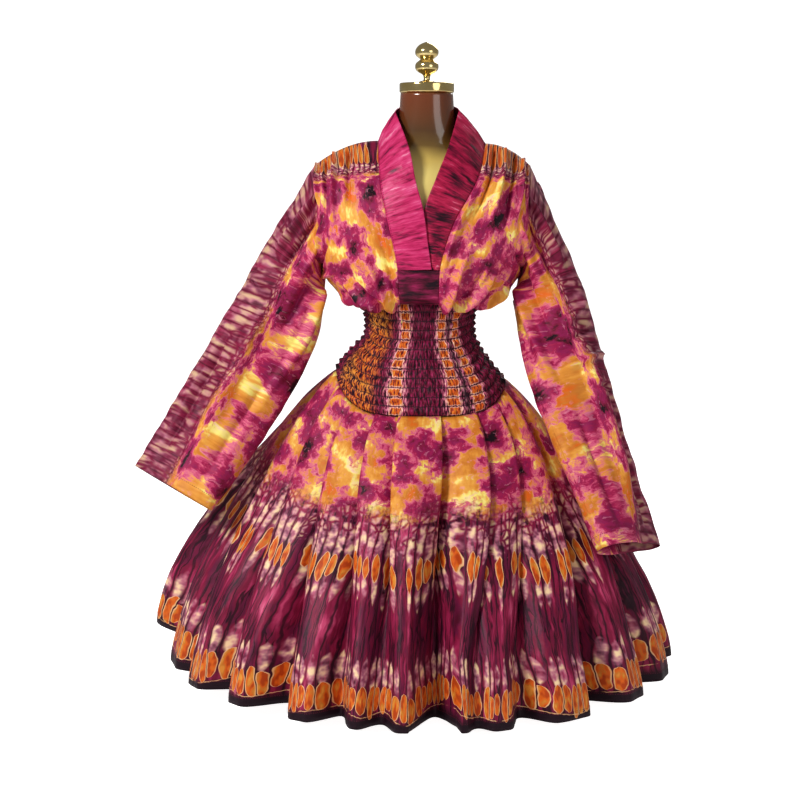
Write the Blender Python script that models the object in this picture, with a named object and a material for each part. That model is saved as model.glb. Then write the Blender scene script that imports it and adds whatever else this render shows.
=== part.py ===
"""A wax print dress on a limbless dress form, in metres, +Z up, front towards -Y.

The cloth is made as its maker cuts it: each piece is a panel with its own wall, and panels meet at
seams with a small gap. Right and left are the wearer's, so the right side lies at -X.
A panel is a flat grid with a thickness, bent into place by a function of its columns and rows.
"""

import math

import bmesh
import bpy
from mathutils import Vector

# Cloth
WALL = 0.0020  # thickness of the cloth's wall
SEAM_GAP = 0.00022  # each panel's edge stops this short of its seam
LAP_GAP = 0.0009  # between a piece's end and the edge that it is sewn to

# Panel grids, as columns around the body and rows along it
FRONT_COLUMNS = 8
NECK_COLUMNS = 6
BODICE_ROWS = 12
ARMPIT_ROW = 4
COLLAR_COLUMNS = 3
BAND_COLUMNS = 20
SHIRR_ROWS = 12  # elastic tunnels round the waist
SKIRT_COLUMNS = 44
SKIRT_ROWS = 8
SLEEVE_ROWS = 12

# The body that the cloth faces away from, and the armhole's own middle
BODY_WIDE = 0.14
BODY_DEEP = 0.12
ARMHOLE_MIDDLE = 0.85
ARMHOLE_DEPTH_SHARE = 1.4
ARMHOLE_LEAN = 0.05

# Heights of the seam between the waistband and the skirt
SEAM_FRONT = 0.502
SEAM_BACK = 0.530
SEAM_RIGHT = 0.575
SEAM_LEFT = 0.556

# The skirt's bell: how fast it spreads and how fast it drops along its length
SKIRT_SPREAD = 1.45
SKIRT_DROP = 1.12

# Rounding of the bodice and the neck band
BODICE_ROUND = 0.85  # below 1 the chest is fuller than an oval
BAND_ROUND = 0.003
PLACKET_ROUND = 0.004
NAPE_DEPTH = 0.082  # the neck band's free edge behind the line between its shoulder ends
NAPE_RISE = 0.016
YOKE_RISE = 0.012

# Folds
SHIRR_HEIGHT = 0.0034  # how far a tunnel stands proud of its stitch line
FOLD_SHARE_TOP = 0.24  # a skirt fold at the waist, as a share of its depth at the hem
GATHER_FADE = 0.62  # the bodice gathers run this share of the way up the panel
GATHER_HEIGHT = 0.007
SLEEVE_FOLD = 0.006  # the long soft folds of a sleeve at its cuff

# Dress form
NECK_TOP = 1.0815
CAP_RADIUS = 0.0500
CAP_HEIGHT = 0.0180
FINIAL_TOP = 1.174
TORSO_BOTTOM = 0.400
POLE_RADIUS = 0.016
BASE_RADIUS = 0.160
BASE_HEIGHT = 0.012
REST_GAP = 0.0003  # between two hard pieces that touch
TURN_SEGMENTS = 28


class Table:
    """Rows of named columns, read between rows on a smooth line. The first column is the key."""

    def __init__(self, columns, rows):
        self.names = columns.split()
        self.rows = sorted(rows)

    def at(self, name, key):
        column = self.names.index(name)
        keys = [row[0] for row in self.rows]
        values = [row[column] for row in self.rows]
        key = min(max(key, keys[0]), keys[-1])
        last = len(keys) - 2
        k = next((n for n in range(last) if key <= keys[n + 1]), last)
        span = keys[k + 1] - keys[k]
        share = (key - keys[k]) / span

        def slope(n):
            if n in (0, len(keys) - 1):
                m = min(max(n, 1), len(keys) - 1)
                return (values[m] - values[m - 1]) / (keys[m] - keys[m - 1])
            return (values[n + 1] - values[n - 1]) / (keys[n + 1] - keys[n - 1])

        start, end = slope(k) * span, slope(k + 1) * span
        rise = values[k + 1] - values[k]
        return (
            values[k]
            + share * start
            + share**2 * (3 * rise - 2 * start - end)
            + share**3 * (start + end - 2 * rise)
        )


# The shirred waistband, top to bottom. Left and right here are the viewer's, so left is -X.
BAND = Table(
    "z to_left to_right to_front to_back",
    [
        (0.704, 0.110, 0.103, 0.098, 0.088),
        (0.680, 0.107, 0.098, 0.094, 0.085),
        (0.655, 0.105, 0.096, 0.091, 0.083),
        (0.635, 0.110, 0.099, 0.092, 0.086),
        (0.610, 0.134, 0.112, 0.100, 0.098),
        (0.585, 0.155, 0.131, 0.109, 0.112),
        (0.555, 0.166, 0.155, 0.119, 0.124),
        (0.530, 0.170, 0.164, 0.124, 0.129),
        (0.495, 0.172, 0.168, 0.128, 0.132),
    ],
)

# The hem, by the turn round the body in degrees: 0 is the front, 90 is +X.
HEM = Table(
    "turn reach z",
    [
        (-180, 0.470, 0.030),
        (-140, 0.485, 0.045),
        (-104, 0.525, 0.085),
        (-82, 0.470, 0.030),
        (-45, 0.455, 0.024),
        (0, 0.455, 0.014),
        (45, 0.460, 0.018),
        (90, 0.472, 0.034),
        (135, 0.470, 0.040),
        (180, 0.470, 0.030),
    ],
)

# The valleys between the skirt's folds: the turn of each at the waist and at the hem, in degrees, and
# its depth and half width at the hem.
SKIRT_VALLEYS = (
    (-89, -91, 0.040, 7),
    (-70, -73, 0.036, 7),
    (-51, -55, 0.042, 8),
    (-34, -37, 0.040, 7),
    (-18, -20, 0.050, 7),
    (-8, -10, 0.026, 5),
    (2, 3, 0.080, 9),
    (19, 24, 0.044, 7),
    (40, 45, 0.046, 8),
    (58, 63, 0.040, 8),
    (76, 81, 0.040, 7),
    (95, 99, 0.046, 8),
    (113, 116, 0.044, 8),
    (132, 134, 0.052, 8),
    (150, 152, 0.044, 8),
    (168, 169, 0.056, 8),
    (-173, -173, 0.042, 8),
    (-155, -156, 0.050, 8),
    (-137, -138, 0.044, 8),
    (-119, -121, 0.048, 8),
    (-104, -107, 0.034, 6),
)

# The armhole and side seam, from the waist up. y is for the front, and the back has its own.
SIDE_EDGE = Table(
    "v x y_front y_back z",
    [
        (0.00, 0.108, 0.000, 0.000, 0.7050),
        (0.08, 0.134, 0.000, 0.000, 0.7100),
        (0.18, 0.160, 0.000, 0.000, 0.7240),
        (0.333, 0.178, 0.000, 0.000, 0.7480),
        (0.45, 0.187, -0.046, 0.050, 0.7780),
        (0.60, 0.190, -0.066, 0.072, 0.8260),
        (0.75, 0.192, -0.060, 0.068, 0.8800),
        (0.88, 0.195, -0.038, 0.044, 0.9260),
        (1.00, 0.198, 0.000, 0.000, 0.9500),
    ],
)

# The seam between the bodice front and the neck band, from the waist up.
RIGHT_FRONT_EDGE = Table(
    "v x y z",
    [
        (0.00, -0.040, -0.0960, 0.7040),
        (0.08, -0.041, -0.1180, 0.7045),
        (0.18, -0.043, -0.1320, 0.7200),
        (0.333, -0.0455, -0.1360, 0.7650),
        (0.45, -0.052, -0.1330, 0.8020),
        (0.60, -0.063, -0.1280, 0.8500),
        (0.75, -0.073, -0.1130, 0.9000),
        (0.88, -0.079, -0.0800, 0.9460),
        (1.00, -0.081, -0.0120, 0.9950),
    ],
)
LEFT_FRONT_EDGE = Table(
    "v x y z",
    [
        (0.00, 0.027, -0.0960, 0.7040),
        (0.08, 0.0275, -0.1190, 0.7030),
        (0.18, 0.028, -0.1330, 0.7170),
        (0.333, 0.030, -0.1360, 0.7650),
        (0.45, 0.038, -0.1330, 0.8000),
        (0.60, 0.056, -0.1270, 0.8500),
        (0.75, 0.083, -0.1090, 0.8970),
        (0.88, 0.104, -0.0780, 0.9400),
        (1.00, 0.115, -0.0120, 0.9900),
    ],
)

# The neck band's free edge: it stands at the side of the neck and crosses in a V.
RIGHT_BAND_EDGE = Table(
    "v x y z",
    [
        (0.333, 0.0155, -0.1400, 0.7665),
        (0.45, 0.0090, -0.1370, 0.8110),
        (0.60, 0.0010, -0.1330, 0.8700),
        (0.75, -0.0130, -0.1180, 0.9230),
        (0.88, -0.0250, -0.0860, 0.9820),
        (1.00, -0.0500, -0.0200, 1.0480),
    ],
)
LEFT_BAND_EDGE = Table(
    "v x y z",
    [
        (0.333, 0.0125, -0.1350, 0.7665),
        (0.45, 0.0040, -0.1320, 0.8050),
        (0.60, 0.0000, -0.1280, 0.8640),
        (0.75, 0.0240, -0.1130, 0.9300),
        (0.88, 0.0460, -0.0780, 0.9840),
        (1.00, 0.0670, -0.0180, 1.0500),
    ],
)

# The bodice back along the lines that run up to the neck points, which start this far from the middle.
BACK_LINE_REACH = 0.062
BACK_LINE = Table(
    "v y z bulge",
    [
        (0.00, 0.074, 0.7040, 0.014),
        (0.08, 0.090, 0.7080, 0.012),
        (0.18, 0.100, 0.7250, 0.010),
        (0.333, 0.106, 0.7700, 0.008),
        (0.60, 0.112, 0.8650, 0.006),
        (0.75, 0.106, 0.9150, 0.008),
        (0.88, 0.078, 0.9620, 0.030),
        (1.00, -0.012, 0.9930, 0.088),
    ],
)

# Sleeve sections from just below the armhole to the cuff: the centre, the section's half width across
# the view and its half depth, and the turn of the section about the sleeve's own axis in degrees.
RIGHT_SLEEVE = Table(
    "s x y z wide deep turn",
    [
        (0.30, -0.2500, -0.006, 0.7330, 0.073, 0.060, 0),
        (0.44, -0.2780, -0.018, 0.6570, 0.086, 0.048, 4),
        (0.60, -0.3230, -0.040, 0.5710, 0.090, 0.040, 10),
        (0.80, -0.3840, -0.075, 0.4680, 0.090, 0.034, 18),
        (1.00, -0.4480, -0.105, 0.3640, 0.086, 0.032, 22),
    ],
)
LEFT_SLEEVE = Table(
    "s x y z wide deep turn",
    [
        (0.30, 0.2330, -0.020, 0.7160, 0.066, 0.060, -10),
        (0.46, 0.2570, -0.050, 0.6120, 0.076, 0.050, -25),
        (0.64, 0.2910, -0.095, 0.5000, 0.084, 0.040, -40),
        (0.82, 0.3290, -0.145, 0.3850, 0.088, 0.032, -50),
        (1.00, 0.3640, -0.197, 0.2750, 0.088, 0.030, -54),
    ],
)

# How far the cloth's outward direction tilts up from level, by height.
TILT = Table(
    "z degrees",
    [
        (0.00, 33),
        (0.45, 36),
        (0.55, 42),
        (0.60, 34),
        (0.645, 8),
        (0.70, -4),
        (0.80, -4),
        (0.88, 8),
        (0.93, 24),
        (0.96, 42),
        (0.99, 52),
        (1.02, 40),
        (1.06, 20),
    ],
)

# The form's own sections.
FORM = Table(
    "z middle wide to_front to_back",
    [
        (TORSO_BOTTOM, -0.002, 0.118, 0.090, 0.102),
        (0.450, -0.002, 0.142, 0.106, 0.120),
        (0.520, -0.003, 0.146, 0.110, 0.121),
        (0.570, -0.004, 0.128, 0.100, 0.106),
        (0.600, -0.004, 0.107, 0.090, 0.090),
        (0.630, -0.0045, 0.0960, 0.0860, 0.0800),
        (0.662, -0.0045, 0.0976, 0.0886, 0.0806),
        (0.700, -0.003, 0.1005, 0.0935, 0.0840),
        (0.780, 0.000, 0.121, 0.108, 0.092),
        (0.860, 0.002, 0.138, 0.118, 0.100),
        (0.915, 0.004, 0.156, 0.100, 0.098),
        (0.942, 0.006, 0.160, 0.078, 0.086),
        (0.965, 0.007, 0.130, 0.054, 0.066),
        (0.985, 0.008, 0.080, 0.046, 0.053),
        (1.005, 0.008, 0.062, 0.0465, 0.051),
        (1.035, 0.008, 0.0520, 0.047, 0.050),
        (NECK_TOP, 0.008, 0.0480, 0.046, 0.048),
    ],
)

# The turned knob over the cap: radius by height above the cap.
FINIAL = (
    (0.0065, 0.000),
    (0.0065, 0.012),
    (0.0110, 0.016),
    (0.0185, 0.022),
    (0.0215, 0.030),
    (0.0185, 0.038),
    (0.0125, 0.042),
    (0.0185, 0.047),
    (0.0215, 0.055),
    (0.0180, 0.064),
    (0.0100, 0.071),
    (0.0, FINIAL_TOP - NECK_TOP - CAP_HEIGHT - 2 * REST_GAP),
)

LOOKS = {
    "cloth": ((0.62, 0.16, 0.20, 1), 0.55, 0.0),
    "neck_band": ((0.50, 0.04, 0.16, 1), 0.5, 0.0),
    "waistband": ((0.30, 0.02, 0.08, 1), 0.6, 0.0),
    "form": ((0.16, 0.05, 0.02, 1), 0.2, 0.0),
    "brass": ((0.72, 0.58, 0.30, 1), 0.15, 1.0),
    "stand": ((0.05, 0.05, 0.05, 1), 0.3, 0.8),
}


def clear_scene():
    for item in list(bpy.data.objects):
        bpy.data.objects.remove(item, do_unlink=True)


def add_object(name, bm, look, smooth=True):
    """Turns the bmesh into a named object with a material of its own, its faces pointing out."""
    if bm.calc_volume(signed=True) < 0:
        bmesh.ops.reverse_faces(bm, faces=bm.faces)
    mesh = bpy.data.meshes.new(name)
    bm.to_mesh(mesh)
    bm.free()
    item = bpy.data.objects.new(name, mesh)
    bpy.context.scene.collection.objects.link(item)
    if smooth:
        mesh.shade_smooth()
        mesh.set_sharp_from_angle(angle=math.radians(50))
    colour, roughness, metallic = LOOKS[look]
    material = bpy.data.materials.new(f"{name}_{look}")
    material.use_nodes = True
    shader = material.node_tree.nodes["Principled BSDF"]
    shader.inputs["Base Color"].default_value = colour
    shader.inputs["Roughness"].default_value = roughness
    shader.inputs["Metallic"].default_value = metallic
    mesh.materials.append(material)
    return item


def bump(x):
    """A rounded ridge of height 1 between -1 and 1."""
    return 0.5 * (1 + math.cos(math.pi * x)) if abs(x) < 1 else 0.0


def around(turn, to_left, to_right, to_front, to_back):
    """A point of a level section, by its turn in degrees from the front."""
    angle = math.radians(turn)
    side = to_right if math.sin(angle) > 0 else to_left
    depth = to_front if math.cos(angle) > 0 else to_back
    return Vector((side * math.sin(angle), -depth * math.cos(angle), 0))


def out_direction(point):
    """Away from the body at a point of the cloth, tilted as the cloth is at that height."""
    flat = Vector((point.x / BODY_WIDE**2, point.y / BODY_DEEP**2, 0)).normalized()
    tilt = math.radians(TILT.at("degrees", point.z))
    return flat * math.cos(tilt) + Vector((0, 0, math.sin(tilt)))


def arm_direction(point):
    """Away from the middle of the armhole, and a little outwards along the arm."""
    lean = math.copysign(ARMHOLE_LEAN, point.x)
    return Vector((lean, point.y * ARMHOLE_DEPTH_SHARE, point.z - ARMHOLE_MIDDLE)).normalized()


def panel(name, look, points, seam_out, out=out_direction, follow=1.0, inside=None, thin_rows=1):
    """A wall from a grid of outer points, points[column][row], and its inner points.

    seam_out(column, row) gives the wall's direction on a border, or None inside the panel, where the
    wall lies between out and the true normal. inside holds other points to measure the inner wall
    from, and the inner wall then keeps one row in thin_rows.
    """
    columns, rows = len(points) - 1, len(points[0]) - 1

    def direction(i, j):
        fixed = seam_out(i, j)
        if fixed is not None:
            return fixed
        across = points[min(i + 1, columns)][j] - points[max(i - 1, 0)][j]
        along = points[i][min(j + 1, rows)] - points[i][max(j - 1, 0)]
        straight = across.cross(along).normalized()
        level = out(points[i][j])
        if straight.dot(level) < 0:
            straight = -straight
        return (straight * follow + level).normalized()

    def pulled(source, i, j):
        """The point, drawn back from the panel's own edges by the seam gap."""
        place = source[i][j].copy()
        for edge, (a, b) in (
            (i == 0, (1, 0)),
            (i == columns, (-1, 0)),
            (j == 0, (0, 1)),
            (j == rows, (0, -1)),
        ):
            if edge:
                place += (source[i + a][j + b] - source[i][j]).normalized() * SEAM_GAP
        return place

    bm = bmesh.new()
    bmesh.ops.create_grid(bm, x_segments=columns, y_segments=rows, size=0.5)
    grown = bmesh.ops.extrude_face_region(bm, geom=bm.faces[:], use_keep_orig=True)
    for vert in grown["geom"]:
        if isinstance(vert, bmesh.types.BMVert):
            vert.co.z = 1
    bmesh.ops.recalc_face_normals(bm, faces=bm.faces)
    if thin_rows > 1:
        spare = [
            edge
            for edge in bm.edges
            if all(v.co.z == 1 for v in edge.verts)
            and abs(edge.verts[0].co.y - edge.verts[1].co.y) < 0.1 / rows
            and round((edge.verts[0].co.y + 0.5) * rows) % thin_rows
            and 0 < round((edge.verts[0].co.y + 0.5) * rows) < rows
        ]
        bmesh.ops.dissolve_edges(bm, edges=spare, use_verts=True, use_face_split=False)
    for vert in bm.verts:
        i, j = round((vert.co.x + 0.5) * columns), round((vert.co.y + 0.5) * rows)
        inner = vert.co.z > 0.5
        source = inside if inner and inside else points
        place = pulled(source, i, j)
        vert.co = place - direction(i, j) * WALL if inner else place
    return add_object(name, bm, look)


def grid_of(columns, rows, place):
    """The points that place(u, v) gives, as a list for each column."""
    return [[place(i / columns, j / rows) for j in range(rows + 1)] for i in range(columns + 1)]


def band_seam_z(turn):
    """The height of the seam between the waistband and the skirt, which dips at the front."""
    side = abs(math.sin(math.radians(turn))) ** 5
    front = math.cos(math.radians(turn)) > 0
    right = math.sin(math.radians(turn)) < 0
    low = SEAM_FRONT if front else SEAM_BACK
    high = SEAM_RIGHT if right else SEAM_LEFT
    return low + (high - low) * side


def band_point(turn, down, shirred):
    """A point of the waistband: down is 0 at its top and 1 at its lower seam."""
    top = BAND.rows[-1][0] - LAP_GAP
    z = top + (band_seam_z(turn) - top) * down
    place = around(turn, *(BAND.at(n, z) for n in BAND.names[1:]))
    place.z = z
    if shirred:
        tunnel = math.sin(math.pi * down * SHIRR_ROWS) ** 2
        puff = 0.62 + 0.38 * math.cos(math.radians(turn) * BAND_COLUMNS + math.pi * round(down * SHIRR_ROWS))
        place += out_direction(place) * SHIRR_HEIGHT * tunnel * puff
    return place


def fold_depth(turn, down):
    """How far the skirt's valleys sink into its bell at a turn and a share of its length."""
    deepest = 0.0
    for top, hem, depth, half_width in SKIRT_VALLEYS:
        centre = top + (hem - top) * down
        away = (turn - centre + 180) % 360 - 180
        grow = FOLD_SHARE_TOP + (1 - FOLD_SHARE_TOP) * down**0.8
        deepest = max(deepest, depth * grow * bump(away / half_width))
    return deepest * min(1.0, 0.2 + 8 * down)


def skirt_point(turn, down):
    """A point of the skirt: a bell from the waist seam to the hem, with its folds on it."""
    top = band_point(turn, 1.0, False)
    angle = math.radians(turn)
    level = Vector((math.sin(angle), -math.cos(angle), 0))
    wrapped = (turn + 180) % 360 - 180
    hem = level * HEM.at("reach", wrapped)
    hem.z = HEM.at("z", wrapped)
    place = top.lerp(hem, 1 - (1 - down) ** SKIRT_SPREAD)
    place.z = top.z + (hem.z - top.z) * down**SKIRT_DROP
    sink = out_direction(place).lerp(level, min(1.0, 2 * down)).normalized()
    place -= sink * fold_depth(turn, down)
    if down == 0:
        place.z -= LAP_GAP
    return place


def tube_half(name, look, columns, rows, place, first_turn, **more):
    """The front or the back half of a piece that goes round the body."""
    points = grid_of(columns, rows, lambda u, v: place(first_turn + 180 * u, v))

    def seam_out(i, j):
        return out_direction(points[i][j])

    return panel(name, look, points, seam_out, **more)


def front_row_point(inner, outer, t):
    """A point between the neck band's seam and the side, on a quarter of an oval."""
    angle = t * math.pi / 2
    near, far = math.cos(angle) ** BODICE_ROUND, math.sin(angle)
    return Vector(
        (
            inner.x + (outer.x - inner.x) * far,
            outer.y + (inner.y - outer.y) * near,
            outer.z + (inner.z - outer.z) * math.cos(angle) ** 2,
        )
    )


def side_edge(v, side, back):
    y = SIDE_EDGE.at("y_back" if back else "y_front", v)
    if v <= ARMPIT_ROW / BODICE_ROWS + 1e-6:
        y = 0.0
    return Vector((side * SIDE_EDGE.at("x", v), y, SIDE_EDGE.at("z", v)))


def edge_point(table, v):
    return Vector([table.at(n, v) for n in "xyz"])


def gathers(t, v, count):
    """Soft ridges that rise from the waist seam and die away up the panel."""
    fade = max(0.0, 1 - v / GATHER_FADE)
    start = min(1.0, v / 0.1)
    return GATHER_HEIGHT * fade * start * math.sin(math.pi * t) * math.cos(2 * math.pi * count * t)


def bodice_front(name, edge, side):
    def place(t, v):
        point = front_row_point(edge_point(edge, v), side_edge(v, side, False), t)
        return point + out_direction(point) * gathers(t, v, 3)

    points = grid_of(FRONT_COLUMNS, BODICE_ROWS, place)

    def seam_out(i, j):
        if i == FRONT_COLUMNS and j >= ARMPIT_ROW:
            return arm_direction(points[i][j])
        if i in (0, FRONT_COLUMNS) or j == BODICE_ROWS:
            return out_direction(points[i][j])
        return None

    return panel(name, "cloth", points, seam_out)


def back_point(column, v):
    """A point of the bodice back: a shoulder strip, the neck's width, and the other shoulder strip."""
    line = Vector((0, BACK_LINE.at("y", v), BACK_LINE.at("z", v)))
    ends = []
    for edge, side in ((RIGHT_FRONT_EDGE, -1), (LEFT_FRONT_EDGE, 1)):
        share = max(0.0, (v - 0.5) / 0.5) ** 2
        across = side * BACK_LINE_REACH * (1 - share) + edge.at("x", 1.0) * share
        ends.append(Vector((across, line.y, line.z)))
    if v > 1 - 1e-6:
        ends = [edge_point(RIGHT_FRONT_EDGE, 1.0), edge_point(LEFT_FRONT_EDGE, 1.0)]
    if column <= FRONT_COLUMNS:
        return front_row_point(ends[0], side_edge(v, -1, True), 1 - column / FRONT_COLUMNS)
    if column >= FRONT_COLUMNS + NECK_COLUMNS:
        t = (column - FRONT_COLUMNS - NECK_COLUMNS) / FRONT_COLUMNS
        return front_row_point(ends[1], side_edge(v, 1, True), t)
    t = (column - FRONT_COLUMNS) / NECK_COLUMNS
    across = math.sin(math.pi * (t - 0.5)) * 0.5 + 0.5
    place = ends[0].lerp(ends[1], across)
    rise = math.sqrt(max(0.0, 1 - (2 * across - 1) ** 2))
    place.y += BACK_LINE.at("bulge", v) * rise
    place.z += YOKE_RISE * rise * max(0.0, v - 0.6) / 0.4
    return place


def bodice_back():
    columns = 2 * FRONT_COLUMNS + NECK_COLUMNS
    points = grid_of(columns, BODICE_ROWS, lambda u, v: back_point(round(u * columns), v))

    def seam_out(i, j):
        if i in (0, columns) and j >= ARMPIT_ROW:
            return arm_direction(points[i][j])
        if i in (0, columns) or j == BODICE_ROWS:
            return out_direction(points[i][j])
        return None

    return panel("bodice_back", "cloth", points, seam_out)


def neck_band(name, seam, free):
    """One side of the band, from its lower end up to the shoulder."""
    first = ARMPIT_ROW / BODICE_ROWS
    rows = BODICE_ROWS - ARMPIT_ROW

    def place(t, share):
        v = first + (1 - first) * share
        a, b = edge_point(seam, v), edge_point(free, v)
        point = a.lerp(b, t)
        return point + out_direction(point) * BAND_ROUND * math.sin(math.pi * t)

    points = grid_of(COLLAR_COLUMNS, rows, place)
    return panel(name, "neck_band", points, lambda i, j: out_direction(points[i][j]))


def neck_band_back():
    """The stand of the band round the back of the neck."""
    columns = NECK_COLUMNS
    ends = [edge_point(t, 1.0) for t in (RIGHT_BAND_EDGE, LEFT_BAND_EDGE)]

    def place(u, v):
        low = back_point(FRONT_COLUMNS + round(u * columns), 1.0)
        across = math.sin(math.pi * (u - 0.5)) * 0.5 + 0.5
        rise = math.sqrt(max(0.0, 1 - (2 * across - 1) ** 2))
        high = ends[0].lerp(ends[1], across) + Vector((0, NAPE_DEPTH * rise, NAPE_RISE * rise))
        return low.lerp(high, v)

    points = grid_of(columns, COLLAR_COLUMNS, place)
    return panel("neck_band_back", "neck_band", points, lambda i, j: out_direction(points[i][j]))


def placket():
    """The short insert below the crossing of the neck band."""

    def place(t, share):
        v = share * ARMPIT_ROW / BODICE_ROWS
        point = edge_point(RIGHT_FRONT_EDGE, v).lerp(edge_point(LEFT_FRONT_EDGE, v), t)
        if share == 1:
            point.z -= LAP_GAP
        return point + out_direction(point) * PLACKET_ROUND * math.sin(math.pi * t)

    points = grid_of(COLLAR_COLUMNS, ARMPIT_ROW, place)
    return panel("placket", "waistband", points, lambda i, j: out_direction(points[i][j]))


def sleeve(name, table, side):
    """A one-piece sleeve: its underarm seam is the slit between its first and last column."""
    armhole_rows = BODICE_ROWS - ARMPIT_ROW
    columns = 2 * armhole_rows

    def armhole(u):
        k = round(u * columns)
        back = k > armhole_rows
        row = ARMPIT_ROW + (2 * armhole_rows - k if back else k)
        return side_edge(row / BODICE_ROWS, side, back)

    def section(u, s):
        centre = edge_point(table, s)
        ahead = (edge_point(table, s + 0.02) - edge_point(table, s - 0.02)).normalized()
        wide = Vector((0, 1, 0)).cross(ahead).normalized() * -side
        if wide.x * side < 0:
            wide = -wide
        deep = ahead.cross(wide).normalized()
        if deep.y > 0:
            deep = -deep
        twist = math.radians(table.at("turn", s)) * side
        angle = 2 * math.pi * u
        first = wide * math.cos(twist) + deep * math.sin(twist)
        second = deep * math.cos(twist) - wide * math.sin(twist)
        return (
            centre
            - first * math.cos(angle) * table.at("wide", s)
            + second * math.sin(angle) * table.at("deep", s)
        )

    def place(u, s):
        start = table.rows[0][0]
        if s < start:
            return armhole(u).lerp(section(u, start), s / start)
        point = section(u, s)
        outward = (point - edge_point(table, s)).normalized()
        return point + outward * SLEEVE_FOLD * s * math.sin(6 * math.pi * u + 5 * s)

    points = grid_of(columns, SLEEVE_ROWS, place)

    def out(point):
        middles = [edge_point(table, n / 40) for n in range(41)]
        return (point - min(middles, key=lambda middle: (middle - point).length)).normalized()

    def seam_out(i, j):
        return arm_direction(points[i][j]) if j == 0 else None

    return panel(name, "cloth", points, seam_out, out=out)


def turned(name, look, profile, centre_x=0.0, segments=TURN_SEGMENTS):
    """A solid turned about an upright axis, from (radius, z) pairs that start and end on the axis."""
    bm = bmesh.new()
    verts = [bm.verts.new((radius, 0, z)) for radius, z in profile]
    edges = [bm.edges.new(pair) for pair in zip(verts, verts[1:])]
    bmesh.ops.spin(
        bm,
        geom=verts + edges,
        cent=(0, 0, 0),
        axis=(0, 0, 1),
        angle=2 * math.pi,
        steps=segments,
        use_merge=True,
    )
    bmesh.ops.remove_doubles(bm, verts=bm.verts, dist=1e-6)
    bmesh.ops.recalc_face_normals(bm, faces=bm.faces)
    bmesh.ops.translate(bm, verts=bm.verts, vec=(centre_x, 0, 0))
    return add_object(name, bm, look)


def form_torso():
    """The padded torso and neck: a tube of level sections, closed at both ends."""
    levels = [row[0] for row in FORM.rows]
    finer = []
    for low, high in zip(levels, levels[1:]):
        finer += [low, (low + high) / 2]
    finer.append(levels[-1])
    bm = bmesh.new()
    loops = []
    for z in finer:
        ring = bmesh.ops.create_circle(bm, segments=TURN_SEGMENTS, radius=1.0)["verts"]
        middle, wide, front, back = (FORM.at(n, z) for n in FORM.names[1:])
        for vert in ring:
            depth = front if vert.co.y < 0 else back
            vert.co = Vector((middle + vert.co.x * wide, vert.co.y * depth, z))
        loops.append([edge for vert in ring for edge in vert.link_edges])
    for low, high in zip(loops, loops[1:]):
        bmesh.ops.bridge_loops(bm, edges=list({*low, *high}))
    ends = [edge for edge in bm.edges if edge.is_boundary]
    bmesh.ops.holes_fill(bm, edges=ends)
    bmesh.ops.recalc_face_normals(bm, faces=bm.faces)
    return add_object("form_torso", bm, "form")


def stand():
    """Cap and knob on the neck, and the pole and foot that the skirt hides."""
    neck_x = FORM.at("middle", NECK_TOP)
    cap_low = NECK_TOP + REST_GAP
    cap_high = cap_low + CAP_HEIGHT
    rim = 0.0015
    cap = [
        (0, cap_low),
        (CAP_RADIUS - rim, cap_low),
        (CAP_RADIUS, cap_low + rim),
        (CAP_RADIUS, cap_high - rim),
        (CAP_RADIUS - rim, cap_high),
        (0, cap_high),
    ]
    turned("neck_cap", "brass", cap, neck_x)
    knob = [(0, cap_high + REST_GAP)] + [(r, cap_high + REST_GAP + z) for r, z in FINIAL]
    turned("finial", "brass", knob, neck_x, 20)
    pole = [
        (0, BASE_HEIGHT + REST_GAP),
        (POLE_RADIUS, BASE_HEIGHT + REST_GAP),
        (POLE_RADIUS, TORSO_BOTTOM - REST_GAP),
        (0, TORSO_BOTTOM - REST_GAP),
    ]
    turned("pole", "stand", pole, 0.0, 20)
    edge = 0.003
    foot = [
        (0, 0),
        (BASE_RADIUS, 0),
        (BASE_RADIUS, BASE_HEIGHT - edge),
        (BASE_RADIUS - edge, BASE_HEIGHT),
        (0, BASE_HEIGHT),
    ]
    turned("base_plate", "stand", foot, 0.0, 36)


def shirred_half(name, first_turn):
    plain = grid_of(BAND_COLUMNS, 2 * SHIRR_ROWS, lambda u, v: band_point(first_turn + 180 * u, v, False))
    tube_half(
        name,
        "waistband",
        BAND_COLUMNS,
        2 * SHIRR_ROWS,
        lambda turn, v: band_point(turn, v, True),
        first_turn,
        follow=0.0,
        inside=plain,
        thin_rows=4,
    )


def main():
    clear_scene()
    form_torso()
    stand()
    bodice_front("bodice_front_right", RIGHT_FRONT_EDGE, -1)
    bodice_front("bodice_front_left", LEFT_FRONT_EDGE, 1)
    bodice_back()
    neck_band("neck_band_right", RIGHT_FRONT_EDGE, RIGHT_BAND_EDGE)
    neck_band("neck_band_left", LEFT_FRONT_EDGE, LEFT_BAND_EDGE)
    neck_band_back()
    placket()
    shirred_half("waistband_front", -90)
    shirred_half("waistband_back", 90)
    tube_half("skirt_front", "cloth", SKIRT_COLUMNS, SKIRT_ROWS, skirt_point, -90, follow=0.6)
    tube_half("skirt_back", "cloth", SKIRT_COLUMNS, SKIRT_ROWS, skirt_point, 90, follow=0.6)
    sleeve("sleeve_right", RIGHT_SLEEVE, -1)
    sleeve("sleeve_left", LEFT_SLEEVE, 1)


main()
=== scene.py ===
# %% [markdown]
# # A wax print dress on a dress form
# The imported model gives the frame: every panel of the dress at its true size, and the form that it hangs
# on. This lesson dresses that frame. Each panel becomes a thin cloth with pleats, gathers and creases, and
# the cloth is printed by shaders in the manner of tied and dyed wax cotton.

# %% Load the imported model
import math

import bmesh
import bpy
from mathutils import Matrix, Vector, noise


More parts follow.
